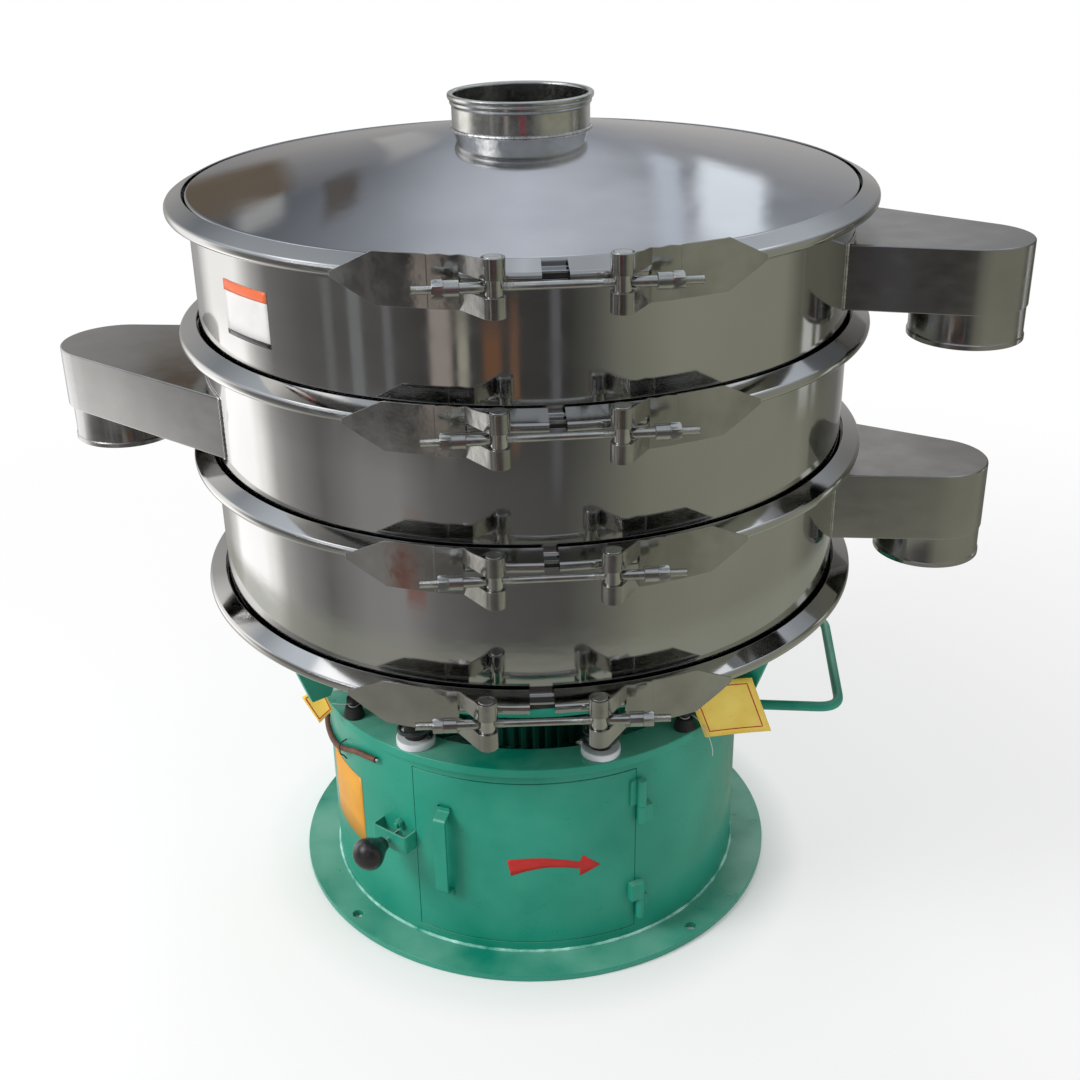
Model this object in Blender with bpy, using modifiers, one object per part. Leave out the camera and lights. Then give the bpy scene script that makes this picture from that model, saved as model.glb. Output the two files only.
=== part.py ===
"""Round vibrating sieve: three stainless decks clamped together on a sprung base.

Metres, +Z up, the clamps and the door face -Y. The machine's own axis is vertical
and stands close to the origin, which is the middle of the whole object's footprint.
An azimuth is in degrees around that axis, 0 at the front and positive to the right.
A profile is a list of (radius, height) points that runs down the outer side.
"""
import math

import bmesh
import bpy
from mathutils import Matrix, Vector

# Clearance between pieces that touch, and facets of round pieces
GAP = 0.0003
MERGE = 0.00001
RING_STEPS = 32
ROUND_STEPS = 20
KNOB_STEPS = 12
SMALL_STEPS = 10
BORE_STEPS = 8
OVERCUT = 0.010
BITE = 0.002

# Base: floor flange, shell and the ring that carries the springs
BASE_RADIUS = 0.3315
BASE_SHEET = 0.005
FLOOR_SHEET = 0.010
FLOOR_OUT = 0.0545
FLOOR_IN = 0.0135
ANCHOR_EDGE = 0.018
ANCHOR_RADIUS = 0.0085
ANCHOR_AZIMUTHS = (-50.0, 40.0, 130.0, 220.0)
RING_TOP = 0.350
RING_SHEET = 0.014
RING_OUT = 0.0155
RING_IN = 0.0385

# Springs in pairs, with their nylon seats on the ring and their cups under the table
SPRING_PAIRS = 4
SPRING_START = -7.5
SPRING_SPREAD = 25.0
SPRING_LENGTH = 0.074
SPRING_RADIUS = 0.0235
SPRING_WIRE = 0.0034
SPRING_TURNS = 4.0
SPRING_POINTS_PER_TURN = 6
SEAT_RADIUS = 0.0285
SEAT_EDGE = 0.0005
SEAT_HEIGHT = 0.011
SPIGOT_RADIUS = 0.0165
SPIGOT_LENGTH = 0.026
CUP_HEIGHT = 0.009

# Transport bolts stand between the pairs of springs
BOLT_EDGE = 0.016
BOLT_AZIMUTHS = (42.0, 127.5, 217.5, 306.0)
BUFFER_RADIUS = 0.0155
BUFFER_TOP_RADIUS = 0.0105
BUFFER_HEIGHT = 0.018
BOLT_RADIUS = 0.006
BOLT_SHANK = 0.0045
BOLT_HEAD_FLATS = 0.019
BOLT_HEAD_HEIGHT = 0.009

# Dished motor table
TABLE_SHEET = 0.008
TABLE_OUT = 0.042
TABLE_DEPTH = 0.0859
RIB_AZIMUTHS = (-52.5, 52.5, 127.5, -127.5)
RIB_WIDTH = 0.008
RIB_FOOT_OUT = 0.044
RIB_FOOT_LENGTH = 0.030
RIB_DEPTH = 0.036
RIB_TOP_IN = 0.012

# Motor, its shaft and the two fan-shaped weights
MOTOR_RADIUS = 0.112
MOTOR_LENGTH = 0.240
MOTOR_BELL = 0.022
MOTOR_FLANGE_OUT = 0.030
MOTOR_FLANGE_HEIGHT = 0.016
MOTOR_SPIGOT_RADIUS = 0.088
MOTOR_SPIGOT_RISE = 0.018
SPIGOT_CLEARANCE = 0.012
SHAFT_RADIUS = 0.020
SHAFT_STUB = 0.026
SHAFT_TAIL = 0.020
WEIGHT_RADIUS = 0.105
WEIGHT_HEIGHT = 0.034
WEIGHT_HUB_RADIUS = 0.036
UPPER_WEIGHT_RISE = 0.038
LOWER_WEIGHT_DROP = 0.037

# Decks from the top one down, and what lies in the joints between them
SHELL_RADIUS = 0.460
SHEET = 0.003
DECK_HEIGHTS = (0.1754, 0.1795, 0.2000)
GASKET_HEIGHT = 0.006
SCREEN_FRAME_HEIGHT = 0.002
SCREEN_FRAME_WIDTH = 0.036
SCREEN_MESH_HEIGHT = 0.001
DOME_RIM_DROP = 0.005
DOME_RISE = 0.045
DOME_SHOULDER = 0.72

# Clamp band: a V section whose nose points outwards
BAND_OUT = 0.005
BAND_DEPTH = 0.025
BAND_EDGE_HALF = 0.017
BAND_NOSE_HALF = 0.005
BAND_SHEET = 0.0025
CLAMP_AZIMUTHS = (4.1, 4.2, 3.1, 1.4)
BAND_GAPS = (0.031, 0.021, 0.019, 0.032)

# Clamp straps, trunnion pins and the tie rod with its sleeve nuts; a strap's runs go along the band's nose
PIN_RADIUS = 0.0103
PIN_LENGTH = 0.068
PIN_SPACING = 0.140
PIN_OUT = 0.025
STRAP_SHEET = 0.003
STRAP_LOW = -0.0335
STRAP_HIGH = 0.0285
STRAP_SLOT_HALF = 0.0095
STRAP_TIP_RUN = 0.261
STRAP_TAPER_RUN = 0.205
STRAP_SLOT_RUN = 0.106
STRAP_TIP_HALF = 0.003
KNUCKLE_HALF = 0.0335
KNUCKLE_STEPS = 7
ROD_RADIUS = 0.0052
ROD_LENGTH = 0.318
SLEEVE_RADIUS = 0.0064
SLEEVE_LENGTH = 0.0265
COLLAR_RADIUS = 0.0098
COLLAR_LENGTH = 0.017
NUT_FLATS = 0.019
NUT_LENGTH = 0.013

# Lid and inlet
LID_RISE = 0.0807
LID_SHOULDER_IN = 0.008
LID_SHOULDER_RISE = 0.014
LID_EDGE_OUT = 0.0015
INLET_RADIUS = 0.095
INLET_WALL = 0.003
INLET_BELOW = 0.0135
INLET_ABOVE = 0.0466
INLET_RIM_OUT = 0.0055
INLET_RIM_HEIGHT = 0.006
INLET_BEAD_OUT = 0.0025
INLET_BEAD_HEIGHT = 0.004
INLET_CHAMFER = 0.003

# Discharge spouts from the top one down, each measured from the joint above it
SPOUT_AZIMUTHS = (76.2, -95.5, 84.5)
SPOUT_DROPS = (0.0458, 0.0564, 0.0439)
SPOUT_HEIGHTS = (0.088, 0.088, 0.100)
SPOUT_STANDOUTS = (0.156, 0.157, 0.146)
SPOUT_MARGINS = (0.0018, 0.0058, 0.0018)
SPOUT_FLARES = (25.5, 33.0, 25.5)
SPOUT_WALL = 0.0025
SPOUT_ROOT_DEPTH = 0.100
SPOUT_END_STEPS = 8
OUTLET_RADIUS = 0.0762
OUTLET_LENGTHS = (0.047, 0.055, 0.046)
OUTLET_LIP = 0.0015
OUTLET_LIP_HEIGHT = 0.006

# Door, its hinges and its pull
DOOR_LEFT = -32.3
DOOR_RIGHT = 26.3
DOOR_SILL = 0.018
DOOR_HEAD = 0.022
DOOR_CLEARANCE = 0.0015
HINGE_AZIMUTH = 27.4
HINGE_STANDOFF = 0.0078
HINGE_RADIUS = 0.0068
HINGE_PIN_RADIUS = 0.003
HINGE_LEAF = 0.018
LOW_HINGE_RISE = 0.055
LOW_HINGE_BARRELS = (0.035, 0.030)
HIGH_HINGE_DROP = 0.061
HIGH_HINGE_BARRELS = (0.030, 0.045)
PULL_AZIMUTH = -23.5
PULL_RISE = 0.076
PULL_LENGTH = 0.158
PULL_STANDOFF = 0.0195
PULL_SLOPE = 0.009
PULL_TAB = 0.007
PULL_WIDTH = 0.020
PULL_SHEET = 0.0045

# Door latch: a spindle through a channel bracket, with a tongue behind the door
LATCH_AZIMUTH = -38.35
LATCH_RISE = 0.156
LATCH_SPINDLE_RADIUS = 0.005
LATCH_NECK = 0.0105
LATCH_TONGUE_LENGTH = 0.078
LATCH_TONGUE_WIDTH = 0.016
LATCH_TONGUE_SHEET = 0.006
LATCH_TONGUE_DEPTH = 0.0315
BRACKET_HALF = 0.0318
BRACKET_CORNER = 0.004
BRACKET_STANDOFF = 0.0221
BRACKET_WIDTH = 0.030
BRACKET_SHEET = 0.003
KNOB_RADIUS = 0.0250
KNOB_LENGTH = 0.054
KNOB_NECK_RADIUS = 0.0105

# Carrying handle on the right
HANDLE_AZIMUTH = 84.0
HANDLE_OUT = 0.133
HANDLE_HALF = 0.140
HANDLE_TUBE = 0.0075
HANDLE_BEND = 0.024
HANDLE_BEND_STEPS = 4

# Cut-off supply lead that lies along the shell; its points are azimuths and drops from the spring ring
LEAD_RADIUS = 0.0045
LEAD_ROUTE = ((-98.0, 0.095), (-86.0, 0.098), (-75.0, 0.095), (-65.0, 0.087), (-53.0, 0.059), (-44.3, 0.049))
LEAD_POINTS_PER_SPAN = 3
GLAND_RADIUS = 0.008
GLAND_LENGTH = 0.012

# Radii that follow from the ones above
FACET = math.cos(math.pi / RING_STEPS)
FLOOR_RADIUS = BASE_RADIUS + FLOOR_OUT
FLOOR_INNER = BASE_RADIUS - FLOOR_IN
RING_OUTER = BASE_RADIUS + RING_OUT
RING_INNER = BASE_RADIUS - RING_IN
SPRING_CIRCLE = RING_OUTER - SEAT_RADIUS - SEAT_EDGE
BOLT_CIRCLE = RING_OUTER - BOLT_EDGE
TABLE_PLATE_RADIUS = SPRING_CIRCLE + TABLE_OUT
TABLE_HOLE_RADIUS = MOTOR_SPIGOT_RADIUS + SPIGOT_CLEARANCE
BAND_EDGE_RADIUS = SHELL_RADIUS + BAND_OUT
BAND_NOSE_RADIUS = BAND_EDGE_RADIUS + BAND_DEPTH
PIN_REACH = BAND_NOSE_RADIUS + PIN_OUT

# Heights that follow, from the floor up
RING_BOTTOM = RING_TOP - RING_SHEET
DOOR_BOTTOM = FLOOR_SHEET + DOOR_SILL
DOOR_TOP = RING_BOTTOM - DOOR_HEAD
LATCH_HEIGHT = DOOR_BOTTOM + LATCH_RISE
HINGES = ((DOOR_BOTTOM + LOW_HINGE_RISE, LOW_HINGE_BARRELS), (DOOR_TOP - HIGH_HINGE_DROP, HIGH_HINGE_BARRELS))
SEAT_TOP = RING_TOP + SEAT_HEIGHT
CUP_BOTTOM = SEAT_TOP + SPRING_LENGTH
TABLE_PLATE_BOTTOM = CUP_BOTTOM + CUP_HEIGHT
TABLE_PLATE_TOP = TABLE_PLATE_BOTTOM + TABLE_SHEET
TABLE_JOINT = TABLE_PLATE_TOP + TABLE_DEPTH
JOINT_HEIGHTS = [TABLE_JOINT + sum(DECK_HEIGHTS[number:]) for number in range(len(DECK_HEIGHTS) + 1)]
LID_CROWN_HEIGHT = JOINT_HEIGHTS[0] + LID_RISE
INLET_TOP = LID_CROWN_HEIGHT + INLET_ABOVE
INLET_BOTTOM = LID_CROWN_HEIGHT - INLET_BELOW
MOTOR_SPIGOT_TOP = TABLE_PLATE_TOP + MOTOR_SPIGOT_RISE
MOTOR_BOTTOM = TABLE_PLATE_BOTTOM - MOTOR_LENGTH
UPPER_WEIGHT_BOTTOM = MOTOR_SPIGOT_TOP + UPPER_WEIGHT_RISE
SHAFT_TOP = UPPER_WEIGHT_BOTTOM + WEIGHT_HEIGHT + SHAFT_STUB
LOWER_WEIGHT_BOTTOM = MOTOR_BOTTOM - LOWER_WEIGHT_DROP - WEIGHT_HEIGHT
SHAFT_BOTTOM = LOWER_WEIGHT_BOTTOM - SHAFT_TAIL

# The flanges fill the inside of the clamp band's V
STACK_HALF = GASKET_HEIGHT / 2 + GAP + SHEET
BAND_SLOPE = (BAND_EDGE_HALF - BAND_NOSE_HALF) / BAND_DEPTH
BAND_INNER_HALF = BAND_EDGE_HALF - BAND_SHEET * math.hypot(1.0, BAND_SLOPE)
BAND_INNER_NOSE = BAND_NOSE_RADIUS - BAND_SHEET
FLANGE_RADIUS = BAND_EDGE_RADIUS + (BAND_INNER_HALF - STACK_HALF - 2 * GAP) / BAND_SLOPE

# Stands an outline of radii and heights up at the front, with its thickness along X
SIDE_VIEW = Matrix.Rotation(math.radians(-90), 4, "Z") @ Matrix.Rotation(math.radians(90), 4, "X")

for old_object in list(bpy.data.objects):
    bpy.data.objects.remove(old_object, do_unlink=True)

PARTS = bpy.data.collections.new("vibrating_sieve")
CUTTERS = bpy.data.collections.new("cutters")
bpy.context.scene.collection.children.link(PARTS)
bpy.context.scene.collection.children.link(CUTTERS)


def paint(name, colour, roughness, metallic=0.0):
    """A Principled material of one colour."""
    material = bpy.data.materials.new(name)
    material.use_nodes = True
    shader = material.node_tree.nodes["Principled BSDF"]
    shader.inputs["Base Color"].default_value = (*colour, 1.0)
    shader.inputs["Roughness"].default_value = roughness
    shader.inputs["Metallic"].default_value = metallic
    return material


GREEN = paint("green_enamel", (0.017, 0.305, 0.190), 0.35)
MIRROR = paint("polished_stainless", (0.62, 0.62, 0.60), 0.08, 1.0)
SATIN = paint("satin_stainless", (0.50, 0.50, 0.52), 0.30, 1.0)
ZINC = paint("bright_steel", (0.70, 0.71, 0.68), 0.20, 1.0)
SPRING_STEEL = paint("black_spring_steel", (0.012, 0.012, 0.012), 0.35)
NYLON = paint("grey_nylon", (0.60, 0.61, 0.62), 0.45)
RUBBER = paint("black_rubber", (0.015, 0.014, 0.013), 0.70)
PLASTIC = paint("black_phenolic", (0.010, 0.010, 0.011), 0.22)
BROWN = paint("brown_sheath", (0.110, 0.040, 0.022), 0.55)


def empty(name, location, azimuth=0.0, parent=None):
    """A named axis that pieces are parented to."""
    item = bpy.data.objects.new(name, None)
    item.location = location
    item.rotation_euler = (0.0, 0.0, math.radians(azimuth))
    item.parent = parent
    PARTS.objects.link(item)
    return item


def polar(radius, azimuth, height=0.0):
    """The point at a radius and azimuth around the machine's axis."""
    angle = math.radians(azimuth)
    return Vector((radius * math.sin(angle), -radius * math.cos(angle), height))


AXIS = empty("machine_axis", (0.0, 0.0, 0.0))


def add(name, mesh, material, parent=AXIS, location=(0.0, 0.0, 0.0), azimuth=0.0, smooth=True):
    """One visible piece of the machine."""
    item = bpy.data.objects.new(name, mesh)
    if material and not mesh.materials:
        mesh.materials.append(material)
    item.location = location
    item.rotation_euler = (0.0, 0.0, math.radians(azimuth))
    item.parent = parent
    PARTS.objects.link(item)
    if smooth and mesh.polygons:
        mesh.shade_smooth()
        mesh.set_sharp_from_angle(angle=math.radians(35))
    return item


def tool(mesh, parent=AXIS, location=(0.0, 0.0, 0.0), azimuth=0.0):
    """A hidden body that cuts a piece or is joined to it."""
    item = bpy.data.objects.new("tool", mesh)
    item.location = location
    item.rotation_euler = (0.0, 0.0, math.radians(azimuth))
    item.parent = parent
    item.hide_render = True
    item.display_type = "WIRE"
    CUTTERS.objects.link(item)
    return item


def combine(item, operation, other):
    """Join, cut or intersect a piece with a tool."""
    modifier = item.modifiers.new(operation.lower(), "BOOLEAN")
    modifier.operation = operation
    modifier.object = other
    modifier.solver = "EXACT"
    return item


def baked(item):
    """The finished mesh of a tool, in its own coordinates, so that copies can share it."""
    bpy.context.view_layer.update()
    evaluated = item.evaluated_get(bpy.context.evaluated_depsgraph_get())
    mesh = bpy.data.meshes.new_from_object(evaluated)
    shape = bmesh.new()
    shape.from_mesh(mesh)
    bmesh.ops.remove_doubles(shape, verts=shape.verts, dist=MERGE)
    shape.to_mesh(mesh)
    shape.free()
    return mesh


def weld(item):
    """Merges the coincident corners that cutting and joining leave."""
    modifier = item.modifiers.new("weld", "WELD")
    modifier.merge_threshold = MERGE
    return item


def profile_mesh(profile, closed=True):
    """The edges of a profile in the XZ plane."""
    mesh = bpy.data.meshes.new("profile")
    points = [(radius, 0.0, height) for radius, height in profile]
    edges = [(i, i + 1) for i in range(len(points) - 1)]
    if closed:
        edges.append((len(points) - 1, 0))
    mesh.from_pydata(points, edges, [])
    return mesh


def turn(item, steps):
    """Turns an item's profile around its Z axis."""
    modifier = item.modifiers.new("turn", "SCREW")
    modifier.axis = "Z"
    modifier.angle = math.tau
    modifier.steps = steps
    modifier.render_steps = steps
    modifier.use_merge_vertices = True
    modifier.merge_threshold = MERGE
    modifier.use_smooth_shade = True
    return item


def turned(name, profile, material, steps=RING_STEPS, closed=True, **place):
    """A visible piece made by turning a profile."""
    return turn(add(name, profile_mesh(profile, closed), material, **place), steps)


def turned_tool(profile, steps=RING_STEPS, closed=True, **place):
    """A tool made by turning a profile."""
    return turn(tool(profile_mesh(profile, closed), **place), steps)


def seat_tool(radius, low, high, **place):
    """Cuts what would reach into a round shell, so that it seats on the shell's outer side."""
    return turned_tool(solid_profile([(radius + GAP, high), (radius + GAP, low)]), closed=False, **place)


def clear_radius(radius, steps):
    """The radius of a hole with flat facets that a pin of the given radius turns in."""
    return (radius + GAP) / math.cos(math.pi / steps)


def solid_profile(points):
    """Closes an outer line to the axis at both ends."""
    return [(0.0, points[0][1])] + list(points) + [(0.0, points[-1][1])]


def cylinder_mesh(radius, low, high, steps, top_radius=None):
    """A cylinder or cone around Z."""
    mesh = bpy.data.meshes.new("cylinder")
    shape = bmesh.new()
    end_radius = radius if top_radius is None else top_radius
    centre = Matrix.Translation((0.0, 0.0, (low + high) / 2))
    bmesh.ops.create_cone(shape, cap_ends=True, segments=steps, radius1=radius, radius2=end_radius,
                          depth=high - low, matrix=centre)
    shape.to_mesh(mesh)
    shape.free()
    return mesh


def box_mesh(low, high):
    """A box between two corners."""
    mesh = bpy.data.meshes.new("box")
    shape = bmesh.new()
    size = Vector(high) - Vector(low)
    middle = (Vector(high) + Vector(low)) / 2
    bmesh.ops.create_cube(shape, size=1.0, matrix=Matrix.Translation(middle) @ Matrix.Diagonal((*size, 1.0)))
    shape.to_mesh(mesh)
    shape.free()
    return mesh


def flat_curve(points, height, closed):
    """The mesh of a flat outline in XY, filled where it is closed, and raised by half its height each way."""
    curve = bpy.data.curves.new("outline", "CURVE")
    curve.dimensions = "2D"
    curve.fill_mode = "BOTH"
    curve.extrude = height / 2
    spline = curve.splines.new("POLY")
    spline.use_cyclic_u = closed
    spline.points.add(len(points) - 1)
    for spline_point, (x, y) in zip(spline.points, points):
        spline_point.co = (x, y, 0.0, 1.0)
    return curve_mesh(curve)


def prism_mesh(outline, low, high):
    """A flat outline in XY, raised from one height to another."""
    return moved(flat_curve(outline, high - low, True), Matrix.Translation((0.0, 0.0, (low + high) / 2)))


def ribbon_mesh(points, low, high):
    """An open upright surface over a line in XY, from one height to another."""
    return moved(flat_curve(points, high - low, False), Matrix.Translation((0.0, 0.0, (low + high) / 2)))


def moved(mesh, matrix):
    """A mesh after a turn or a shift."""
    mesh.transform(matrix)
    return mesh


def pattern(mesh, matrices):
    """Copies of one mesh at several places, as one tool mesh."""
    result = bpy.data.meshes.new("pattern")
    shape = bmesh.new()
    for matrix in matrices:
        copy = mesh.copy()
        copy.transform(matrix)
        shape.from_mesh(copy)
        bpy.data.meshes.remove(copy)
    shape.to_mesh(result)
    shape.free()
    return result


def around(radius, azimuths, height=0.0):
    """Places on a circle, each one turned to face outwards."""
    return [Matrix.Translation(polar(radius, a, height)) @ Matrix.Rotation(math.radians(a), 4, "Z") for a in azimuths]


def thicken(item, thickness):
    """Gives an open surface its sheet thickness, half to each side."""
    modifier = item.modifiers.new("sheet", "SOLIDIFY")
    modifier.thickness = thickness
    modifier.offset = 0.0
    modifier.use_even_offset = True
    return item


def tube_mesh(points, radius, resolution=2):
    """A tube along points, with closed ends."""
    curve = bpy.data.curves.new("tube", "CURVE")
    curve.dimensions = "3D"
    curve.bevel_depth = radius
    curve.bevel_resolution = resolution
    curve.use_fill_caps = True
    spline = curve.splines.new("POLY")
    spline.points.add(len(points) - 1)
    for spline_point, point in zip(spline.points, points):
        spline_point.co = (*point, 1.0)
    return curve_mesh(curve)


def curve_mesh(curve):
    """The welded mesh of a curve, facing outwards where it is closed."""
    item = bpy.data.objects.new("curve", curve)
    CUTTERS.objects.link(item)
    mesh = baked(item)
    bpy.data.objects.remove(item, do_unlink=True)
    shape = bmesh.new()
    shape.from_mesh(mesh)
    bmesh.ops.recalc_face_normals(shape, faces=shape.faces)
    shape.to_mesh(mesh)
    shape.free()
    return mesh


def band_profile(height):
    """The V section of a clamp band around its joint's height."""
    return [
        (BAND_EDGE_RADIUS, height + BAND_EDGE_HALF),
        (BAND_NOSE_RADIUS, height + BAND_NOSE_HALF),
        (BAND_NOSE_RADIUS, height - BAND_NOSE_HALF),
        (BAND_EDGE_RADIUS, height - BAND_EDGE_HALF),
        (BAND_EDGE_RADIUS, height - BAND_INNER_HALF),
        (BAND_INNER_NOSE, height - BAND_INNER_HALF + BAND_SLOPE * (BAND_INNER_NOSE - BAND_EDGE_RADIUS)),
        (BAND_INNER_NOSE, height + BAND_INNER_HALF - BAND_SLOPE * (BAND_INNER_NOSE - BAND_EDGE_RADIUS)),
        (BAND_EDGE_RADIUS, height + BAND_INNER_HALF),
    ]


def strap():
    """The right strap: a pointed plate on the band's nose whose slotted end is rolled around a pin."""
    pin_x = PIN_SPACING / 2
    roll = (PIN_RADIUS + GAP + STRAP_SHEET / 2) / math.cos(math.pi / KNUCKLE_STEPS)
    leave_angle = math.degrees(STRAP_SLOT_RUN / BAND_NOSE_RADIUS + pin_x / PIN_REACH) / 2
    leave_x, leave_y, _ = polar(BAND_NOSE_RADIUS, leave_angle)
    plan = [tuple(polar(BAND_NOSE_RADIUS, math.degrees(run / BAND_NOSE_RADIUS)))[:2]
            for run in (STRAP_TIP_RUN, STRAP_TAPER_RUN, STRAP_SLOT_RUN)]
    slot_end = plan[-1][0]
    taper_x = plan[1][0]
    tip_x = plan[0][0]
    plan.append((max(leave_x, pin_x + 2 * roll - STRAP_SHEET), leave_y))
    for step in range(KNUCKLE_STEPS):
        angle = math.tau * (step - 0.5) / KNUCKLE_STEPS
        plan.append((pin_x + roll * math.cos(angle), -PIN_REACH - roll * math.sin(angle)))
    item = thicken(tool(ribbon_mesh(plan, -KNUCKLE_HALF - BITE, KNUCKLE_HALF + BITE)), STRAP_SHEET)

    middle = (STRAP_LOW + STRAP_HIGH) / 2
    knuckle_end = pin_x + 2 * roll
    inner_end = pin_x - 2 * roll
    outline = prism_mesh([
        (inner_end, -KNUCKLE_HALF),
        (knuckle_end, -KNUCKLE_HALF),
        (slot_end, STRAP_LOW),
        (taper_x, STRAP_LOW),
        (tip_x + STRAP_SHEET, middle - STRAP_TIP_HALF),
        (tip_x + STRAP_SHEET, middle + STRAP_TIP_HALF),
        (taper_x, STRAP_HIGH),
        (slot_end, STRAP_HIGH),
        (knuckle_end, KNUCKLE_HALF),
        (inner_end, KNUCKLE_HALF),
    ], 0.0, 2 * PIN_REACH)
    combine(item, "INTERSECT", tool(moved(outline, Matrix.Rotation(math.radians(90), 4, "X"))))
    slot = box_mesh((inner_end, -2 * PIN_REACH, -STRAP_SLOT_HALF), (slot_end, 0.0, STRAP_SLOT_HALF))
    return combine(item, "DIFFERENCE", tool(slot))


def add_clamps():
    """Four bands with straps, each drawn together by a tie rod through two trunnion pins."""
    straps = strap()
    mirror = straps.modifiers.new("left_strap", "MIRROR")
    mirror.merge_threshold = MERGE
    straps = baked(straps)
    lay_down = Matrix.Rotation(math.radians(90), 4, "Y")
    pin_bore = moved(cylinder_mesh(ROD_RADIUS + GAP, -2 * PIN_RADIUS, 2 * PIN_RADIUS, BORE_STEPS), lay_down)
    pin = tool(cylinder_mesh(PIN_RADIUS, -PIN_LENGTH / 2, PIN_LENGTH / 2, SMALL_STEPS))
    pin = baked(combine(pin, "DIFFERENCE", tool(pin_bore)))
    sleeve_start = PIN_SPACING / 2 + PIN_RADIUS + GAP
    collar_start = sleeve_start + SLEEVE_LENGTH
    nut_start = collar_start + COLLAR_LENGTH
    nut_end = nut_start + NUT_LENGTH
    sleeve = cylinder_mesh(SLEEVE_RADIUS, sleeve_start, collar_start + BITE, BORE_STEPS)
    collar = cylinder_mesh(COLLAR_RADIUS, collar_start, nut_start + BITE, SMALL_STEPS)
    hexagon = cylinder_mesh(NUT_FLATS / math.sqrt(3), nut_start, nut_end, 6)
    nut = combine(combine(tool(hexagon), "UNION", tool(collar)), "UNION", tool(sleeve))
    nut = moved(baked(nut), lay_down)
    rod = moved(cylinder_mesh(ROD_RADIUS, -ROD_LENGTH / 2, ROD_LENGTH / 2, BORE_STEPS), lay_down)
    fixed_nut = nut.copy()
    fixed_nut.transform(Matrix.Rotation(math.pi, 4, "Z"))
    rod = baked(combine(tool(rod), "UNION", tool(fixed_nut)))
    bore = cylinder_mesh(clear_radius(ROD_RADIUS, BORE_STEPS), sleeve_start - OVERCUT, nut_end + OVERCUT, BORE_STEPS)
    loose_nut = baked(combine(tool(nut), "DIFFERENCE", tool(moved(bore, lay_down))))
    for number, (joint, azimuth, gap) in enumerate(zip(JOINT_HEIGHTS, CLAMP_AZIMUTHS, BAND_GAPS), start=1):
        band = turned(f"clamp_band_{number}", band_profile(joint), MIRROR)
        low = (-gap / 2, -2 * BAND_NOSE_RADIUS, joint - 2 * BAND_EDGE_HALF)
        high = (gap / 2, 0.0, joint + 2 * BAND_EDGE_HALF)
        combine(band, "DIFFERENCE", tool(box_mesh(low, high), azimuth=azimuth))
        combine(band, "UNION", tool(straps, location=(0.0, 0.0, joint), azimuth=azimuth))
        for side, sign in (("left", -1), ("right", 1)):
            place = Matrix.Rotation(math.radians(azimuth), 4, "Z") @ Vector((sign * PIN_SPACING / 2, -PIN_REACH, joint))
            add(f"clamp_pin_{number}_{side}", pin, ZINC, location=place, azimuth=azimuth)
        add(f"clamp_rod_{number}", rod, ZINC, location=polar(PIN_REACH, azimuth, joint), azimuth=azimuth)
        add(f"clamp_nut_{number}", loose_nut, ZINC, location=polar(PIN_REACH, azimuth, joint), azimuth=azimuth)


def spout_outline(reach, radius, root, flare):
    """A spout seen from above: straight on one side, flared on the other, round at the end."""
    first = -math.pi / 2
    last = math.pi / 2 - flare
    outline = [(root, -radius)]
    for step in range(SPOUT_END_STEPS + 1):
        angle = first + (last - first) * step / SPOUT_END_STEPS
        outline.append((reach + radius * math.cos(angle), radius * math.sin(angle)))
    run = (outline[-1][0] - root) / math.cos(flare)
    outline.append((root, outline[-1][1] + run * math.sin(flare)))
    return outline


def spout_meshes(index):
    """The spout and the space inside it, both with the top at height 0 and pointing along +X."""
    reach = SHELL_RADIUS + SPOUT_STANDOUTS[index]
    radius = OUTLET_RADIUS + SPOUT_MARGINS[index]
    root = SHELL_RADIUS - SPOUT_ROOT_DEPTH
    flare = math.radians(SPOUT_FLARES[index])
    floor = -SPOUT_HEIGHTS[index]
    bottom = floor - OUTLET_LENGTHS[index]
    outer = prism_mesh(spout_outline(reach, radius, root, flare), floor, 0.0)
    inner_outline = spout_outline(reach, radius - SPOUT_WALL, root - OVERCUT, flare)
    inner = prism_mesh(inner_outline, floor + SPOUT_WALL, -SPOUT_WALL)
    lip_top = bottom + OUTLET_LIP_HEIGHT
    outlet = turned_tool(solid_profile([
        (OUTLET_RADIUS, floor / 2),
        (OUTLET_RADIUS, lip_top + OUTLET_LIP),
        (OUTLET_RADIUS + OUTLET_LIP, lip_top),
        (OUTLET_RADIUS + OUTLET_LIP, bottom),
    ]), ROUND_STEPS, closed=False, location=(reach, 0.0, 0.0))
    bore_radius = OUTLET_RADIUS - SPOUT_WALL
    bore = turned_tool(solid_profile([(bore_radius, floor / 3), (bore_radius, bottom - OVERCUT)]),
                       ROUND_STEPS, closed=False, location=(reach, 0.0, 0.0))
    spout = combine(tool(outer), "UNION", outlet)
    for cutter in (tool(inner), bore):
        combine(spout, "DIFFERENCE", cutter)
    return baked(spout), inner


def deck_profile(top_joint, bottom_joint):
    """A deck shell with a flange turned out at both ends."""
    flange_top = top_joint - GASKET_HEIGHT / 2 - GAP
    flange_bottom = bottom_joint + GASKET_HEIGHT / 2 + GAP
    return [
        (FLANGE_RADIUS, flange_top),
        (FLANGE_RADIUS, flange_top - SHEET),
        (SHELL_RADIUS, flange_top - SHEET),
        (SHELL_RADIUS, flange_bottom + SHEET),
        (FLANGE_RADIUS, flange_bottom + SHEET),
        (FLANGE_RADIUS, flange_bottom),
        (SHELL_RADIUS - SHEET, flange_bottom),
        (SHELL_RADIUS - SHEET, flange_top),
    ]


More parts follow.
